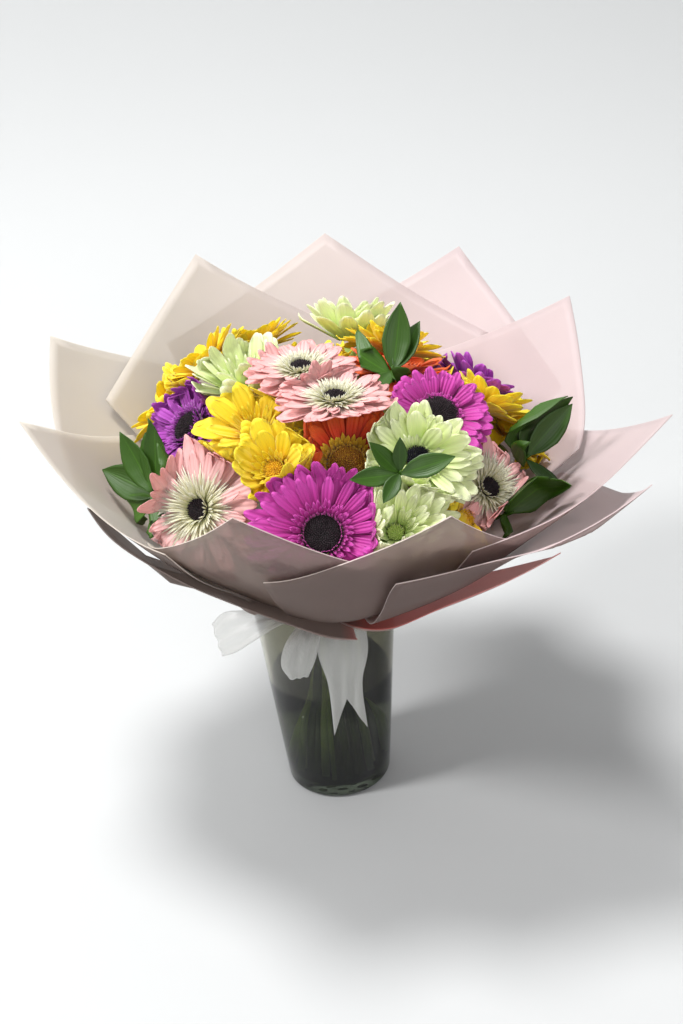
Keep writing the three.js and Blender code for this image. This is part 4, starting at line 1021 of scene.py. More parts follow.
def join_rings(rings):
    """Faces between rings of equal count; a ring of one point is a pole."""
    faces = []
    for low, high in zip(rings, rings[1:]):
        n = max(len(low), len(high))
        for k in range(n):
            m = (k + 1) % n
            if len(low) == 1:
                faces.append((low[0], high[m], high[k]))
            elif len(high) == 1:
                faces.append((low[k], low[m], high[0]))
            else:
                faces.append((low[k], low[m], high[m], high[k]))
    return faces


# The first side of a tube is square to this, which no stem or twig runs along
TUBE_START = (0.3, 0.9, 0.1)


def tube(line, radii, sides, waves=None):
    """A closed tube along a line, with lengthwise ribs where waves says how high they are."""
    ahead = unit(np.gradient(line, axis=0))
    side = unit(np.cross(ahead[0], TUBE_START))
    points, rings = [line[0]], [[0]]
    for k, (place, radius) in enumerate(zip(line, radii)):
        side = unit(side - ahead[k] * (side @ ahead[k]))
        other = np.cross(ahead[k], side)
        rings.append(list(range(len(points), len(points) + sides)))
        for n in range(sides):
            a = 2 * math.pi * n / sides
            r = radius if waves is None else radius * (1 + waves[k] * math.cos(sides / 2 * a))
            points.append(place + side * r * math.cos(a) + other * r * math.sin(a))
    rings.append([len(points)])
    points.append(line[-1])
    return np.array(points), join_rings(rings)


def merged(parts):
    """Several (points, faces) bodies as one list of points and faces."""
    points, faces, offset = [], [], 0
    for part_points, part_faces in parts:
        points.append(part_points)
        faces += [tuple(i + offset for i in face) for face in part_faces]
        offset += len(part_points)
    return np.concatenate(points), faces


def outward(piece):
    """Turns every face of a piece outwards."""
    form = bmesh.new()
    form.from_mesh(piece.data)
    bmesh.ops.recalc_face_normals(form, faces=form.faces)
    form.to_mesh(piece.data)
    form.free()
    return piece


print("points of a small lathe:", len(lathe([(0, 0), (1, 0), (1, 1), (0, 1)], 8)[0]))

# %% [markdown]
# One eye is made flat on the origin: a smooth dome carries the Geometry Nodes modifier, and the
# evaluated result is copied to a plain mesh, because the modifier wouldn't be kept. That mesh is
# then turned and moved to its bloom. It sits a little lower in the wide kinds.

# %% Build the eyes
EYE_RISE = 0.34
EYE_SIDES = 32
# The florets stop just inside the dome's edge
FLORETS_WITHIN = 0.97
# Width of one floret in millimetres, on eyes wider than this and on the others
LARGE_EYE = 10
LARGE_FLORET, SMALL_FLORET = 1.0, 0.92
EYE_HEIGHT, WIDE_EYE_HEIGHT = 3.0, 2.4


def bloom_matrix(thing, height):
    """From a bloom's own frame, this high over its centre, to the scene."""
    place = thing["centre"] + thing["axes"][2] * height
    matrix = Matrix([list(row) for row in thing["axes"].T]).to_4x4()
    matrix.translation = Vector(place * MM)
    return matrix


def build_eye(thing, seed):
    """A dome of florets in the bloom's own finish, as plain mesh."""
    radius = EYE_RADIUS[thing["kind"]]
    rise = radius * EYE_RISE
    rings = [(0.0, -1.6), (radius * 0.8, -1.2), (radius, 0.2)]
    rings += [(radius * share, rise * (1 - share ** DOME_POWER - HOLLOW_DEPTH * (1 - share) ** HOLLOW_POWER))
              for share in (0.8, 0.6, 0.4, 0.2)]
    points, faces = lathe(rings + [(0.0, rise * (1 - HOLLOW_DEPTH))], EYE_SIDES)
    carrier = mesh_object("eye_carrier", points, faces, [])
    modifier = carrier.modifiers.new("florets", "NODES")
    modifier.node_group = FLORET_TREE
    name = thing["name"]
    colour = colour_of(name)
    floret = LARGE_FLORET if radius > LARGE_EYE else SMALL_FLORET
    settings = {"Count": FLORETS[thing["kind"]], "Radius": radius * FLORETS_WITHIN * MM, "Rise": rise * MM,
                "Floret": floret * MM, "Seed": seed, "Finish": EYES[EYE.get(name, EYE[colour])]}
    for key, value in settings.items():
        modifier[FLORET_INPUTS[key]] = value
    bpy.context.view_layer.update()
    plain = bpy.data.meshes.new_from_object(carrier.evaluated_get(bpy.context.evaluated_depsgraph_get()))
    bpy.data.objects.remove(carrier)
    plain.transform(bloom_matrix(thing, WIDE_EYE_HEIGHT if thing["kind"] == "wide" else EYE_HEIGHT))
    piece = bpy.data.objects.new(f"{name}_eye", plain)
    bpy.context.collection.objects.link(piece)
    return outward(piece)


for seed, thing in enumerate(THINGS[:len(BLOOMS)]):
    eye = build_eye(thing, seed)
    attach(eye, "root")
    if thing["name"] + "_disc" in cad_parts:
        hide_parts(thing["name"] + "_disc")
print("faces in the last eye:", len(eye.data.polygons))

# %% [markdown]
# ## Leaves and stems
# The green is ruscus: pointed leathery leaves with a sunken midrib, each set on a thin twig. The
# stems cross at the tie in a spiral, which is what lets a bunch stand in a vase, and each one
# widens under its bloom into the green cup that holds the petals.

# %% Leaves
# Shares of the length, and shares of the full width there
LEAF_SHAPE = ([0, 0.06, 0.2, 0.42, 0.62, 0.8, 0.93, 1.0], [0.1, 0.2, 0.72, 1.0, 0.88, 0.55, 0.2, 0.02])
LEAF_ROWS, LEAF_COLUMNS = 18, 9
# Width as a share of the length, and the hollow of a leaf as a share of half its width
LEAF_WIDTH = 0.42
LEAF_CUP = 0.3
LEAF_THICK = 0.5
LEAF_CURL = -0.004
LEAF_TWIST = math.radians(14)
LEAF_TONE, TWIG_TONE = 0.2, 0.6
# The lowest leaf starts this far from the spray's centre along the twig, and the next ones higher
FIRST_LEAF = -6
LEAF_STEP = 1.7
TWIG_ENDS = (1.6, 0.8)
# The twig starts this far above its stem's end and stands this far past the spray's centre
TWIG_GAP, TWIG_PAST = 0.3, 3
TWIG_POINTS = 8
TWIG_SIDES = 8


def build_leaves(thing, draw):
    """One spray: its leaves and the twig that carries them."""
    planes = planes_of(thing)
    u, v, axis = thing["axes"]
    starts, headings, lengths = [], [], []
    for i, (angle, lift, length) in enumerate(thing["leaves"]):
        a, raised = math.radians(angle), math.radians(lift)
        out = u * math.cos(a) + v * math.sin(a)
        starts.append(thing["centre"] + axis * (FIRST_LEAF + LEAF_STEP * i))
        headings.append(out * math.cos(raised) + axis * math.sin(raised))
        lengths.append(length)
    headings, lengths = np.array(headings), np.array(lengths, dtype=float)
    count = len(lengths)
    lines = grow(np.array(starts), headings, axis, lengths, np.full(count, LEAF_CURL), planes)
    sides = unit(np.cross(axis, headings))
    grid = strap_grid(
        lines, sides, lengths * LEAF_WIDTH, planes, LEAF_ROWS, LEAF_COLUMNS, LEAF_SHAPE,
        tip=0.0, cup=LEAF_CUP, furrow=0.0, thickness=LEAF_THICK,
        twist=LEAF_TWIST * (2 * draw.random(count) - 1))
    points, faces, uvs, variation = gather([(grid, LEAF_ROWS, LEAF_COLUMNS, LEAF_TONE)], draw)
    foot = thing["centre"] - axis * (thing["neck"] - TWIG_GAP)
    twig_line = foot + np.linspace(0, 1, TWIG_POINTS)[:, None] * axis * (thing["neck"] + TWIG_PAST)
    twig = tube(twig_line, np.linspace(*TWIG_ENDS, TWIG_POINTS), TWIG_SIDES)
    # The twig's UVs all lie beside the midrib, so it stays plain
    uvs = np.concatenate([uvs, np.full((len(twig[0]), 2), 0.25)])
    variation = np.concatenate([variation, np.full(len(twig[0]), TWIG_TONE)])
    return mesh_object(thing["name"] + "_ruscus", *merged([(points, faces), twig]), [LEAF], uvs,
                       variation=variation)


for thing in THINGS[len(BLOOMS):]:
    piece = outward(build_leaves(thing, draw))
    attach(piece, "root")
    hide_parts(thing["name"])
print("leaf faces in the last spray:", len(piece.data.polygons))

# %% [markdown]
# The stems pass the tie side by side, as hexagons pack. Each gets the free place that lies nearest
# its own bloom's direction. Below the tie they all turn the same way, so their feet spread into a
# ring on the floor of the vase.

# %% Stems: places at the tie and feet in the vase
FOOT_TWIST = math.radians(62)
FOOT_SPREAD = 1.75
FOOT_HEIGHT = 12.3
# Places in the middle and in each ring round it
SLOT_RINGS = (1, 6, 12, 18)
# A bloom's direction counts as a point this far from the middle of the tie
SLOT_REACH = 15
STEM_RADIUS = 2.8
TIED_RADIUS = 3.1
TWIG_RADIUS = 1.8
STEM_SIDES, TWIG_STEM_SIDES = 16, 12
# Points on the straight part below the tie and on the curve above it
STRAIGHT_POINTS, CURVE_POINTS = 7, 22
# The curve's handles, as shares of its reach: on from the tie, back from the bloom, and sideways
TIE_HANDLE, BLOOM_HANDLE, SIDE_HANDLE = 0.2, 0.32, 0.12
# The stem swells into the cup over its last points, whose ribs rise and fall
CUP_FROM = 18
CUP_RIBS = (0.03, 0.06, 0.07, 0.05)
# The cup's radius as a share of the hub that it holds
CUP_SHARE = 0.66
HUB = {"eyed": 11.5, "fine": 11, "wide": 15.5, "broad": 9.5, "cupped": 9.5, "back": 9.5, "double": 10}


def tie_slots(count):
    """Places on a hexagonal grid, from the middle outwards."""
    grid = [(TIE_SLOTS * (a + b / 2), TIE_SLOTS * b * math.sqrt(3) / 2)
            for a in range(-4, 5) for b in range(-4, 5)]
    return sorted(grid, key=lambda p: math.hypot(*p) + 1e-3 * math.atan2(p[1], p[0]))[:count]


def assign_slots():
    """Each stem gets the free place nearest its own direction, inner blooms first."""
    free = tie_slots(len(THINGS))
    wanted = []
    for thing in THINGS:
        x, y, _ = to_bunch(thing["centre"])
        wanted.append((math.hypot(x, y), x, y, thing))
    wanted.sort(key=lambda want: want[0])
    taken = 0
    for ring in SLOT_RINGS:
        group = sorted(wanted[taken:taken + ring], key=lambda want: math.atan2(want[2], want[1]))
        places = free[taken:taken + ring]
        taken += ring
        for size, x, y, thing in group:
            aim = (x / size * SLOT_REACH, y / size * SLOT_REACH)
            places.sort(key=lambda p: math.hypot(p[0] - aim[0], p[1] - aim[1]))
            thing["slot"] = places.pop(0)


def stem_line(thing):
    """Straight from the foot through the tie, then a curve to the bloom."""
    x, y = thing["slot"]
    c, s = FOOT_SPREAD * math.cos(FOOT_TWIST), FOOT_SPREAD * math.sin(FOOT_TWIST)
    foot = np.array([x * c - y * s, x * s + y * c, FOOT_HEIGHT])
    start = from_bunch(np.array([x, y, 0.0]))
    axis = thing["axes"][2]
    end = thing["centre"] - axis * thing["neck"]
    reach = np.linalg.norm(end - start)
    out = (end - start) * np.array([SIDE_HANDLE, SIDE_HANDLE, 0.0])
    handles = (start, start + unit(start - foot) * reach * TIE_HANDLE + out,
               end - axis * reach * BLOOM_HANDLE, end)
    t = np.linspace(0, 1, CURVE_POINTS)[:, None]
    curve = ((1 - t) ** 3 * handles[0] + 3 * (1 - t) ** 2 * t * handles[1]
             + 3 * (1 - t) * t ** 2 * handles[2] + t ** 3 * handles[3])
    straight = foot + np.linspace(0, 1, STRAIGHT_POINTS + 1)[:-1, None] * (start - foot)
    return np.concatenate([straight, curve])


def stem_body(thing):
    """The tube of one stem, with its cup where it carries a bloom."""
    line = stem_line(thing)
    count = len(line)
    if thing["kind"] == "spray":
        return tube(line, np.full(count, TWIG_RADIUS), TWIG_STEM_SIDES)
    radii = np.full(count, STEM_RADIUS)
    radii[STRAIGHT_POINTS - 1] = TIED_RADIUS
    cup = HUB[thing["kind"]] * CUP_SHARE
    last = CURVE_POINTS - CUP_FROM
    swell = np.clip(np.linspace(0, CURVE_POINTS, CURVE_POINTS) - CUP_FROM, 0, last) / last
    radii[-CURVE_POINTS:] = STEM_RADIUS + (cup - STEM_RADIUS) * np.sqrt(swell)
    waves = np.zeros(count)
    waves[-len(CUP_RIBS):] = CUP_RIBS
    return tube(line, radii, STEM_SIDES, waves)


assign_slots()
bodies = [stem_body(thing) for thing in THINGS]
points, faces = merged(bodies)
tones = np.concatenate([np.full(len(body[0]), draw.random()) for body in bodies])
stems = outward(mesh_object("stems_fine", points, faces, [STEM], variation=tones))
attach(stems, "root")
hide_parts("stems")
print("stems:", len(THINGS), "faces:", len(faces))

# %% [markdown]
# ## Vase and water
# The vase is pressed glass: an outside cone, a thick floor and a rim rounded by fire polishing.
# Its outline runs from the middle of the foot up the outside, over the rim and down the inside.

# %% Vase
VASE_BASE, VASE_RIM, VASE_WALL, VASE_FLOOR = 44.0, 59.0, 3.0, 12.0
VASE_SIDES = 128
# Rounding of the foot, of the rim and of the corner inside, and how far the rim bulges up
FOOT_ROUND, RIM_ROUND, INNER_ROUND, RIM_BULGE = 5.0, 2.0, 6.0, 0.4
RIM_GAP = 0.1
# Inside this radius the glass floor and the water are nearly level
FLOOR_MIDDLE = 20.0


def outer_radius(z):
    """Radius of the outside of the glass at a height."""
    return VASE_BASE + (VASE_RIM - VASE_BASE) * z / VASE_HEIGHT


def inner_radius(z):
    """Radius of the inside of the glass at a height."""
    return outer_radius(z) - VASE_WALL


def rounded(start, corner, end, count=6):
    """Points of a rounded corner from start to end."""
    t = np.linspace(0, 1, count)[:, None]
    a, b, c = (np.array(p, dtype=float) for p in (start, corner, end))
    return [tuple(p) for p in (1 - t) ** 2 * a + 2 * (1 - t) * t * b + t ** 2 * c]


round_top = VASE_FLOOR + INNER_ROUND
rim_side = VASE_HEIGHT - RIM_ROUND
rim_middle = VASE_RIM - VASE_WALL / 2
wall_heights = (30.0, 60.0, 90.0, 120.0, 150.0)
vase_profile = [
    (0.0, 1.2), (VASE_BASE * 0.55, 0.9), (VASE_BASE - 9, 0.0),
    *rounded((VASE_BASE - FOOT_ROUND, 0.0), (VASE_BASE, 0.0), (outer_radius(FOOT_ROUND), FOOT_ROUND)),
    *((outer_radius(z), z) for z in wall_heights),
    *rounded((VASE_RIM, rim_side), (VASE_RIM, VASE_HEIGHT + RIM_BULGE), (rim_middle, VASE_HEIGHT)),
    *rounded((rim_middle - RIM_GAP, VASE_HEIGHT), (VASE_RIM - VASE_WALL, VASE_HEIGHT + RIM_BULGE),
             (inner_radius(rim_side), rim_side)),
    *((inner_radius(z), z) for z in reversed(wall_heights)),
    *rounded((inner_radius(round_top), round_top), (inner_radius(VASE_FLOOR), VASE_FLOOR),
             (inner_radius(VASE_FLOOR) - INNER_ROUND, VASE_FLOOR)),
    (FLOOR_MIDDLE, VASE_FLOOR + 0.4), (0.0, VASE_FLOOR + 0.6)]
vase = outward(mesh_object("vase_pressed_glass", *lathe(vase_profile, VASE_SIDES), [GLASS]))
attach(vase, "root")
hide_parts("vase")
print("rings of the vase:", len(vase_profile))

# %% [markdown]
# The water's own surface overlaps the inside of the glass by a hair, so that light bends once
# between the two, as it does in life. A thin rim of water climbs the glass.

# %% Water
WATER_LEVEL = 106.0
INTO_GLASS = 0.08
# The climbing rim: how far from the glass and how far below the edge each of its points is
WATER_RIM = ((0.8, 0.6), (2.5, 1.2))
WATER_DIP = 1.4

water_profile = [
    (0.0, VASE_FLOOR + 0.5), (FLOOR_MIDDLE, VASE_FLOOR + 0.3),
    *rounded((inner_radius(VASE_FLOOR) - INNER_ROUND, VASE_FLOOR - INTO_GLASS),
             (inner_radius(VASE_FLOOR) + INTO_GLASS, VASE_FLOOR),
             (inner_radius(round_top) + INTO_GLASS, round_top)),
    *((inner_radius(z) + INTO_GLASS, z) for z in (40.0, 70.0, WATER_LEVEL)),
    *((inner_radius(WATER_LEVEL) - away, WATER_LEVEL - below) for away, below in WATER_RIM),
    (FLOOR_MIDDLE, WATER_LEVEL - WATER_DIP), (0.0, WATER_LEVEL - WATER_DIP)]
water = outward(mesh_object("water_fine", *lathe(water_profile, VASE_SIDES), [WATER]))
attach(water, "root")
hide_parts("water")
print("rings of the water:", len(water_profile))

# %% [markdown]
# ## Flower paper
# Ten square sheets stand round the bunch with a corner up, gathered at the tie, so each leans
# out like a petal. All share one bowl-shaped surface and lie on it in layers. A straight paper
# edge stays straight when the cone is unrolled, which gives the edge its curve in the round.

# %% The shared paper surface
def profile_at(azimuth):
    """Smooth height and radius along the paper's profile at one azimuth, by distance from the tie."""
    heights, radii = flare_rows(np.array(azimuth))
    distance = np.concatenate([[0.0], np.cumsum(np.hypot(np.diff(heights), np.diff(radii)))])
    distance -= distance[TIE_ROW]
    return distance, heights, radii


def hermite(x, xs, ys):
    """Smooth interpolation through points, straight beyond the last one."""
    slopes = np.gradient(ys, xs)
    k = np.clip(np.searchsorted(xs, x) - 1, 0, len(xs) - 2)
    width = xs[k + 1] - xs[k]
    t = (x - xs[k]) / width
    inside = np.clip(t, 0, 1)
    leaving = inside ** 3 - 2 * inside ** 2 + inside
    arriving = inside ** 3 - inside ** 2
    share = 3 * inside ** 2 - 2 * inside ** 3
    h = ys[k] + share * (ys[k + 1] - ys[k]) + width * (leaving * slopes[k] + arriving * slopes[k + 1])
    return h + (t - inside) * width * slopes[k + 1]


def layer_offset(layer, distances):
    """How far one layer lies outside the innermost one, which grows away from the tie."""
    return layer * (PAPER_PITCH + PAPER_OPENING * np.clip(distances / PAPER_OPEN_BY, 0, 1))


# Height in millimetres and number round the bunch of the gathers and of the waves
GATHER_HEIGHT, GATHERS = 0.9, 23
WAVE_HEIGHT, WAVES = 1.3, 7
# Distances from the tie: where the gathers are highest, how fast they fade, where waves are full
GATHERS_AT, GATHERS_FADE, WAVES_BY = 14, 26.0, 150.0
# Lower waves run aslant: their share of the height, and radians a millimetre
SLANTED_SHARE, SLANT = 0.5, 0.034


def pleats(distances, azimuth):
    """Gathers at the tie that run out into soft waves; the same for every layer."""
    near = np.exp(-((distances - GATHERS_AT) / GATHERS_FADE) ** 2)
    far = np.clip(distances / WAVES_BY, 0, 1) ** 2
    gathers = GATHER_HEIGHT * near * math.sin(GATHERS * azimuth + 0.6)
    slanted = SLANTED_SHARE * np.sin(SLANT * distances + (WAVES + 2) * azimuth)
    return gathers + WAVE_HEIGHT * far * (math.sin(WAVES * azimuth + 0.4) + slanted)


# A sheet that droops starts to do so at this share of PAPER_OPEN_BY
DROOP_FROM = 0.62


def paper_points(distances, azimuth, layer, lift, droop):
    """Points on one layer of paper at distances from the tie along one azimuth."""
    xs, heights, radii = profile_at(azimuth)
    h, r = hermite(distances, xs, heights), hermite(distances, xs, radii)
    ahead_h = hermite(distances + 1.0, xs, heights) - h
    ahead_r = hermite(distances + 1.0, xs, radii) - r
    size = np.hypot(ahead_h, ahead_r)
    far = np.clip(distances / PAPER_OPEN_BY, 0, 1)
    sag = droop * np.clip((far - DROOP_FROM) / (1 - DROOP_FROM), 0, 1) ** 2
    out = layer_offset(layer, distances) + lift + sag + pleats(distances, azimuth)
    r = r + ahead_h / size * out
    h = h - ahead_r / size * out
    return from_bunch(np.stack([r * np.cos(azimuth), r * np.sin(azimuth), h], axis=-1))


print("the front paper's profile is", round(float(profile_at(FRONT_AZIMUTH)[0][-1])), "mm long")

# %% [markdown]
# A sheet's corner points out from the bunch. Its two straight edges meet there at an angle, and
# the law of sines on the unrolled cone says how far each one is from the tie at every azimuth.
# Each sheet is a grid of two skins, pale inside and taupe outside, the taupe partly painted shade.

# %% The square sheets
SHEETS = [
    # name, azimuth of the corner, its distance from the tie, layer, corner's half angle, droop
    ("paper_front_left", 250, 240, 0, 45, 0), ("paper_front_right", 290, 240, 1, 45, 0),
    ("paper_right_low", 322, 274, 3, 42, 16), ("paper_right", 339, 284, 2, 45, 0),
    ("paper_back_right", 34, 298, 0, 45, 0), ("paper_back_centre_right", 63, 331, 2, 45, 0),
    ("paper_back", 89, 337, 1, 50, 0), ("paper_back_centre_left", 115, 326, 0, 45, 0),
    ("paper_back_left", 153, 293, 2, 47, 0), ("paper_left", 185, 261, 1, 45, 0),
]
SHEET_ROWS, SHEET_COLUMNS = 30, 33
# Above 1, the rows crowd towards the tie
SHEET_CROWDING = 1.15
# The cone's slope is taken over this last stretch before the corner
CONE_STRETCH = 100.0


def closed_sheet(name, skins, inside, outside):
    """Two skins of columns as a thin closed sheet with a material on each face."""
    inner, outer = (np.array(skin).transpose(1, 0, 2) for skin in skins)
    rows, columns = inner.shape[:2]
    faces = skin_faces(rows, columns)
    grid = 2 * (rows - 1) * (columns - 1)
    finish = np.zeros(len(faces), dtype=int)
    finish[1:grid:2] = 1
    points = np.concatenate([inner.reshape(-1, 3), outer.reshape(-1, 3)])
    piece = outward(mesh_object(name, points, faces, [inside, outside], face_materials=finish))
    # A flat rim keeps the cut edge crisp between the two smooth faces
    piece.data.polygons.foreach_set("use_smooth", np.arange(len(faces)) < grid)
    return piece


def build_sheet(name, corner, reach, layer, angle, droop):
    """One square sheet, corner up."""
    middle = math.radians(corner)
    xs, _, radii = profile_at(middle)
    tip_radius = hermite(np.array(reach), xs, radii)
    cone = (tip_radius - hermite(np.array(reach - CONE_STRETCH), xs, radii)) / CONE_STRETCH
    apex = tip_radius / cone - reach
    alpha = math.radians(angle)
    skins = [[], []]
    for offset in np.linspace(-PAPER_HALF, PAPER_HALF, SHEET_COLUMNS):
        turn = abs(math.radians(offset)) * cone
        edge = (reach + apex) * math.sin(alpha) / math.sin(alpha + turn) - apex
        distances = edge * np.linspace(0, 1, SHEET_ROWS) ** SHEET_CROWDING
        for skin, lift in zip(skins, (0.0, PAPER_THICK)):
            skin.append(paper_points(distances, middle + math.radians(offset), layer, lift, droop))
    return closed_sheet(name + "_sheet", skins, PAPER_PALE, PAPER_TAUPE_AND_SHADE)


for name, corner, reach, layer, angle, droop in SHEETS:
    sheet = build_sheet(name, corner, reach, layer, angle, droop)
    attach(sheet, "root")
    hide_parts(name)
print("sheets:", len(SHEETS), "faces each:", len(sheet.data.polygons))

# %% [markdown]
# Two looser sheets wrap the front, outside the others. Each leaves the tie, hangs out under the
# bowl to a low fold, and turns up again, so their inner faces show below the rim. There the coral is
# painted light through the pink paper, and the dark red is painted shade in the gap.
# Each is drawn as a few stations round the bunch, and a smooth curve runs through them.

# %% Collars
# Stations along each collar: azimuth, fold radius, fold height over the tie, height of the side
COLLARS = {
    "paper_collar_left": {"layer": 5, "sag": 1.5, "stations": [
        (278, 86, -5, 4), (264, 92, 2, 14), (250, 107, 20, 22), (236, 122, 36, 22), (222, 142, 53, 17),
        (209, 170, 78, 12), (198, 184, 96, 6)]},
    "paper_collar_right": {"layer": 4, "sag": 4, "stations": [
        (263, 70, 9, 3), (276, 86, 6, 9), (290, 100, 8, 11), (304, 122, 27, 17), (318, 158, 51, 14),
        (327, 181, 66, 8)]},
}
# The side's lean against the bowl, in radians, and the distance from the tie where it is taken
COLLAR_TILT = -0.25
COLLAR_SIDE_AT = 110.0
COLLAR_COLUMNS = 44
# Rows from the tie to the fold and from the fold to the rim, kept this close to the fold
COLLAR_LOW_ROWS, COLLAR_SIDE_ROWS = 15, 7
FOLD_BEFORE, FOLD_AFTER = 1.5, 0.7
# The outer skin is this share of a thickness lower under the bunch, and further out at the fold
SKIN_DROP, SKIN_OUT = 0.8, 0.6
# Rows that hang under the bowl: row of its profile, share of the way out, room before the fold
HANGING_ROWS = ((6, 0.5, 24), (7, 0.76, 12))
# The sag grows from none at this radius to all of it over this width, and is never under a share
SAG_FROM, SAG_OVER, LEAST_SAG = 70, 50, 0.2
# Room between the hanging rows and the bowl
BOWL_GAP = 1.5


def collar_column(azimuth, layer, sag, radius, height, side, lift):
    """Radius and height of a collar's rows at one azimuth: out under the bowl, the fold, the side."""
    xs, heights, radii = profile_at(azimuth)
    size = np.hypot(np.gradient(heights, xs), np.gradient(radii, xs))
    out_r, out_h = np.gradient(heights, xs) / size, -np.gradient(radii, xs) / size

    def under(row):
        out = layer_offset(layer, xs[row]) + lift
        return np.array([radii[row] + out_r[row] * out, heights[row] + out_h[row] * out])

    root = under(TIE_ROW + 1)
    rows = [under(TIE_ROW), root]
    # They hang below the straight line from the root to the fold, and below the bowl
    for row, share, clearance in HANGING_ROWS:
        r, h = under(row)
        if r > radius - clearance:
            r, h = root[0] + (radius - root[0]) * share, math.inf
        chord = root[1] + (height - root[1]) * (r - root[0]) / (radius - root[0])
        chord -= sag * np.clip((r - SAG_FROM) / SAG_OVER, LEAST_SAG, 1)
        rows.append((r, min(chord - SKIN_DROP * lift, h - BOWL_GAP)))
    rows.append((radius + SKIN_OUT * lift, height - SKIN_DROP * lift))
    k = int(np.clip(np.searchsorted(xs, COLLAR_SIDE_AT) - 1, 0, len(xs) - 2))
    c, s = math.cos(COLLAR_TILT), math.sin(COLLAR_TILT)
    rise_r, rise_h = -out_h[k] * c + out_r[k] * s, out_r[k] * c + out_h[k] * s
    rows.append((radius + side * rise_r + lift * rise_h, height + side * rise_h - lift * rise_r))
    return np.array(rows, dtype=float)


def build_collar(name, layer, sag, stations):
    """One collar: a column of rows at each azimuth along its stations."""
    table = np.array(stations, dtype=float)
    place = np.arange(len(table))
    fine = np.linspace(0, len(table) - 1, COLLAR_COLUMNS)
    skins = [[], []]
    for degrees, radius, height, side in zip(*(hermite(fine, place, column) for column in table.T)):
        azimuth = math.radians(degrees)
        for skin, lift in zip(skins, (0.0, PAPER_THICK)):
            line = collar_column(azimuth, layer, sag, radius, height, side, lift)
            marks = np.concatenate([[0.0], np.cumsum(np.linalg.norm(np.diff(line, axis=0), axis=1))])
            fold, rim = marks[-2:]
            # Close rows at the fold keep it crisp
            shares = np.concatenate([np.linspace(0, fold - FOLD_BEFORE, COLLAR_LOW_ROWS),
                                     np.linspace(fold - FOLD_AFTER, rim, COLLAR_SIDE_ROWS)])
            r, h = (np.interp(shares, marks, line[:, k]) for k in (0, 1))
            skin.append(from_bunch(np.stack([r * math.cos(azimuth), r * math.sin(azimuth), h], axis=-1)))
    return closed_sheet(name + "_sheet", skins, PAPER_PINK_WITH_PAINTED_GLOW_AND_SHADE, PAPER_ROSE_AND_SHADE)


for name, collar in COLLARS.items():
    piece = build_collar(name, **collar)
    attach(piece, "root")
    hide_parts(name)
print("collars:", ", ".join(COLLARS))

# %% [markdown]
# ## Ribbon
# The organza was cut as flat strips: one wound round the tie, and strips folded into the loops
# and the tail of the bow. Each strip is bent along a line with its width given by a direction,
# rippled as crisp organza is, and then measured, and the measures are printed as its flat size.

# %% Ribbon strips
# Stations along each strip: its middle, and half its width as a vector
STRIPS = {
    "ribbon_loop_front": [
        ((4, -32.9, 185.4), (0, 0, 2.6)), ((-2, -43.3, 185.6), (7, 0, 0.7)), ((-12, -60, 184), (9, 0, 0)),
        ((-17, -70, 178), (13, 2, 0)), ((-22, -76, 162), (13, 3, 0)), ((-23, -74, 146), (7, 1, 0))],
    "ribbon_loop_left": [
        ((2, -32.5, 185.4), (0, 0, 2.6)), ((-10, -38, 186), (-3, 4, 1)), ((-40, -46, 184), (-4, 7, 3)),
        ((-60, -46, 180), (-5, 9, 9)), ((-76, -42, 172), (-4, 9, 13)), ((-86, -38, 164), (-3, 7, 11))],
    "ribbon_tail": [
        ((9, -33.4, 185.4), (0, 0, 2.6)), ((11, -42, 185.5), (8, 0, 1)), ((15, -61, 183.6), (15.5, 0, 0)),
        ((13, -67.5, 172), (19, 0, -1)), ((12, -68.5, 134), (13.5, 0, 1)), ((13, -67, 86), (13.5, 0, 2))],
}
STRIP_THICK = 0.25
STRIP_ROWS, STRIP_COLUMNS = 40, 15
# Depth of the V in the tail's end, as a share of its length
TAIL_NOTCH = 0.26
# Half waves from the middle of a strip to each edge, their height in millimetres, and how many
# radians a millimetre they drift sideways along it
RIPPLES = 2.6
RIPPLE_HEIGHT = 0.9
RIPPLE_DRIFT = 0.05
# The ripples fade in over this length, and are lower where half the strip is narrower than this
RIPPLE_START, RIPPLE_BREADTH = 12, 10


def strip_grid(stations, notch=0.0):
    """A rippled strip of cloth as a grid of points, its far end cut to a V where notch is given."""
    places, halves = np.array(stations, dtype=float).transpose(1, 0, 2)
    marks = np.concatenate([[0.0], np.cumsum(np.linalg.norm(np.diff(places, axis=0), axis=1))])
    u = np.linspace(-1, 1, STRIP_COLUMNS)
    shares = np.linspace(0, 1, STRIP_ROWS)[:, None] * (1 - notch * (1 - np.abs(u)))[None, :] * marks[-1]
    centre = np.stack([hermite(shares, marks, places[:, k]) for k in range(3)], axis=-1)
    half = np.stack([hermite(shares, marks, halves[:, k]) for k in range(3)], axis=-1)
    points = centre + half * u[None, :, None]
    ahead = unit(np.gradient(centre, axis=0))
    normal = unit(np.cross(half, ahead))
    breadth = np.linalg.norm(half, axis=-1)
    swell = np.clip(shares / RIPPLE_START, 0, 1) * np.clip(breadth / RIPPLE_BREADTH, 0, 1)
    wave = RIPPLE_HEIGHT * swell * np.sin(RIPPLES * math.pi * u[None, :] + shares * RIPPLE_DRIFT)
    return points + normal * wave[..., None], normal


def measured(grid):
    """Greatest width, greatest length and area of a grid surface, in metres."""
    across = np.linalg.norm(np.diff(grid, axis=1), axis=2).sum(1)
    down = np.linalg.norm(np.diff(grid, axis=0), axis=2).sum(0)
    a, b = grid[1:, 1:] - grid[:-1, :-1], grid[1:, :-1] - grid[:-1, 1:]
    area = np.linalg.norm(np.cross(a, b), axis=2).sum() / 2
    return across.max() * MM, down.max() * MM, area * MM * MM


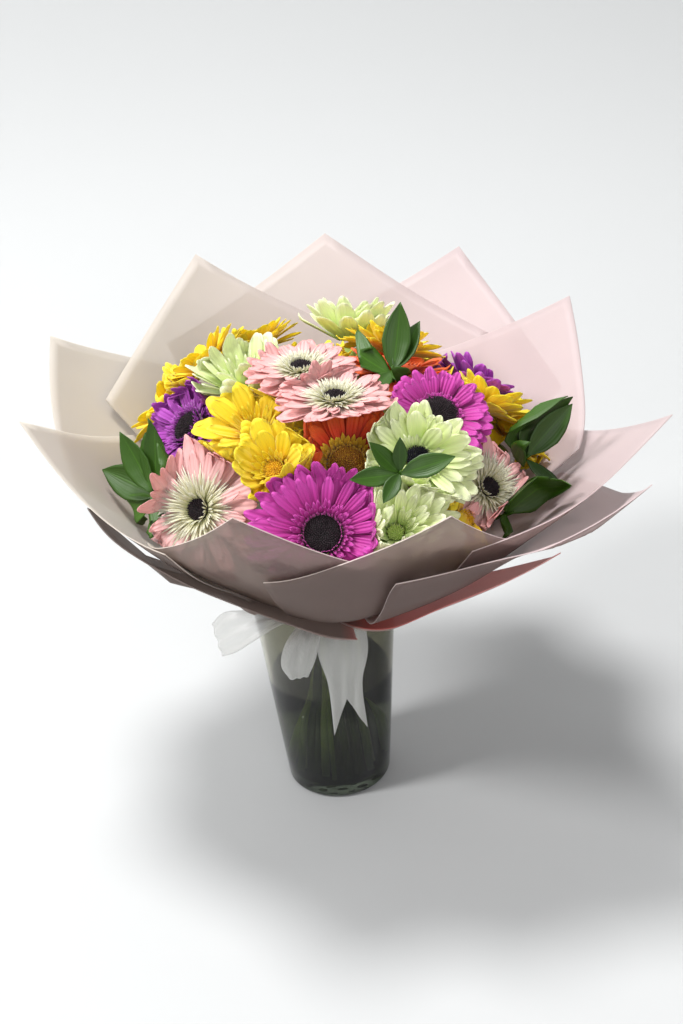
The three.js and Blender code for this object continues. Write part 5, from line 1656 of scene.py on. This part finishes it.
def cloth_object(name, grid, normal):
    """A strip as a thin closed piece with its own weave UV in metres, its flat size and its area."""
    rows, columns = grid.shape[:2]
    points = np.concatenate([grid.reshape(-1, 3), (grid + normal * STRIP_THICK).reshape(-1, 3)])
    width, length, area = measured(grid)
    v, u = np.meshgrid(np.linspace(0, length, rows), np.linspace(0, width, columns), indexing="ij")
    one = np.stack([u.ravel(), v.ravel()], axis=1)
    piece = mesh_object(name, points, skin_faces(rows, columns), [ORGANZA],
                        np.concatenate([one, one]), uv_name="weave")
    return outward(piece), (width, length), area


print("strips of the bow:", ", ".join(STRIPS))

# %% [markdown]
# The band is a strip pulled tight round the tie, where gathers take up more than half its width.
# Its radius rises and falls with the height, which folds the strip, and the folds wander a little.

# %% Ribbon band
BAND_RADIUS = 33.2
BAND_ROWS, BAND_COLUMNS = 160, 25
# Bottom and top against the tie, the turn where the band starts, and the share of a full turn
BAND_LOW, BAND_HIGH = -7.7, -2.2
BAND_START = -1.2
BAND_TURN = 0.995
# Depth of the folds, radians a millimetre across them, and how far and how often they wander
FOLD_DEPTH, FOLD_RATE = 0.85, 3.5
WANDER, WANDERS = 0.9, 3

angle = np.linspace(0, 2 * math.pi * BAND_TURN, BAND_ROWS)[:, None]
fall = np.linspace(BAND_LOW, BAND_HIGH, BAND_COLUMNS)[None, :]
radius = BAND_RADIUS + FOLD_DEPTH * np.sin(fall * FOLD_RATE + WANDER * np.sin(WANDERS * angle))
out = np.stack([np.cos(angle + BAND_START), np.sin(angle + BAND_START), 0 * angle], axis=-1)
band = from_bunch(radius[..., None] * out + fall[..., None] * (0.0, 0.0, 1.0))
normal = np.broadcast_to(out @ TIE_AXES, band.shape)
piece, flat, area = cloth_object("ribbon_band", band, normal)
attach(piece, "root")
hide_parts("ribbon")
print(piece.name, "flat", [round(size, 4) for size in flat])

# %% [markdown]
# The loops and the tail are strips too. They start narrow at the front of the band, where the bow
# is tied, and widen as they leave it. The tail's end is cut to a V, and its flat size is that of
# the strip before the cut.

# %% Ribbon loops and tail
for name, stations in STRIPS.items():
    grid, normal = strip_grid(stations, TAIL_NOTCH if name == "ribbon_tail" else 0.0)
    piece, _, area = cloth_object(name, grid, normal)
    flat = measured(strip_grid(stations)[0])[:2]
    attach(piece, "root")
    print(name, "flat", [round(size, 4) for size in flat], "area", round(area, 6))

# %% [markdown]
# ## Floor, camera and light
# The floor and the wall are one pale matt surface, as in a studio sweep, which curves up far
# behind the vase so that no corner shows.

# %% Stage
def stage_material():
    """Matt pale card."""
    material, tree = new_material("studio_sweep")
    skin = add_node(tree, "ShaderNodeBsdfPrincipled", inputs={
        "Base Color": linear("BFC0C0"), "Roughness": 0.9})
    add_node(tree, "ShaderNodeOutputMaterial", inputs={"Surface": skin.outputs["BSDF"]})
    return material


SWEEP_HALF, SWEEP_FRONT, SWEEP_BACK, SWEEP_HEIGHT, SWEEP_ROUND = 3000.0, -2500.0, 1500.0, 3000.0, 800.0
# The stage lies a hair below the vase, so that the two faces don't fight
STAGE_DROP = 0.05
bend = SWEEP_BACK - SWEEP_ROUND
sweep = [(SWEEP_FRONT, 0.0), *rounded((bend, 0.0), (SWEEP_BACK, 0.0), (SWEEP_BACK, SWEEP_ROUND), 16),
         (SWEEP_BACK, SWEEP_HEIGHT)]
points = [(x, y, z - STAGE_DROP) for y, z in sweep for x in (-SWEEP_HALF, SWEEP_HALF)]
faces = [(2 * k, 2 * k + 1, 2 * k + 3, 2 * k + 2) for k in range(len(sweep) - 1)]
floor = mesh_object("studio_floor", points, faces, [stage_material()])
print("strips of the stage:", len(faces))

# %% [markdown]
# The camera looks down on the bunch from the front. Its place, its tilt and its lens were fitted
# to the photo's view of the vase and the wrap. The frame is taller than wide, so the lens is
# measured against its height.

# %% Camera
CAMERA_PLACE = (20.6, -832.8, 672.2)
CAMERA_RIGHT = (0.996, -0.0396, -0.0777)
CAMERA_UP = (0.0872, 0.452, 0.8876)
FOCAL_LENGTH = 41.84
FILM_HEIGHT = 36.0
FAR_CLIP = 20

camera = bpy.data.objects.new("camera", bpy.data.cameras.new("camera"))
bpy.context.collection.objects.link(camera)
camera.data.sensor_fit = "VERTICAL"
camera.data.sensor_height = FILM_HEIGHT
camera.data.lens = FOCAL_LENGTH
camera.data.clip_end = FAR_CLIP
right = Vector(CAMERA_RIGHT).normalized()
back = right.cross(Vector(CAMERA_UP)).normalized()
up = back.cross(right)
camera.matrix_world = Matrix((right, up, back)).transposed().to_4x4()
camera.matrix_world.translation = Vector(CAMERA_PLACE) * MM
bpy.context.scene.camera = camera
print("camera at", CAMERA_PLACE, "mm, lens", FOCAL_LENGTH, "mm")

# %% [markdown]
# Two soft round lights stand high over the bunch, one nearly overhead and one to the left, so the
# shadow falls in two lobes, one round the vase and one to the right. A wide weak light, low at
# the front, lifts the side of the petals and the paper that the camera sees, and a pale world
# fills the shadows.

# %% Lights
# name, place, what it points at, width and power, in metres and watts
LIGHTS = [
    ("overhead", (-0.6, 0.45, 4.1), (0.0, 0.0, 0.2), 1.1, 156),
    ("left", (-2.7, -0.8, 2.85), (0.0, 0.0, 0.2), 0.8, 96),
    ("fill", (0.6, -2.6, 1.4), (0.0, 0.0, 0.25), 1.6, 22),
]
WORLD_COLOUR, WORLD_STRENGTH = "F2F4F6", 0.4

for name, place, target, size, power in LIGHTS:
    lamp = bpy.data.objects.new(name, bpy.data.lights.new(name, "AREA"))
    bpy.context.collection.objects.link(lamp)
    lamp.data.shape = "DISK"
    lamp.data.size = size
    lamp.data.energy = power
    lamp.location = place
    lamp.rotation_euler = (Vector(target) - Vector(place)).to_track_quat("-Z", "Y").to_euler()

world = bpy.data.worlds.new("studio")
bpy.context.scene.world = world
world.use_nodes = True
world.node_tree.nodes["Background"].inputs["Color"].default_value = linear(WORLD_COLOUR)
world.node_tree.nodes["Background"].inputs["Strength"].default_value = WORLD_STRENGTH
# Blender's AgX view greys strong petal colours, so they are shown with the Standard one
bpy.context.scene.view_settings.view_transform = "Standard"
print("lights:", ", ".join(light[0] for light in LIGHTS))
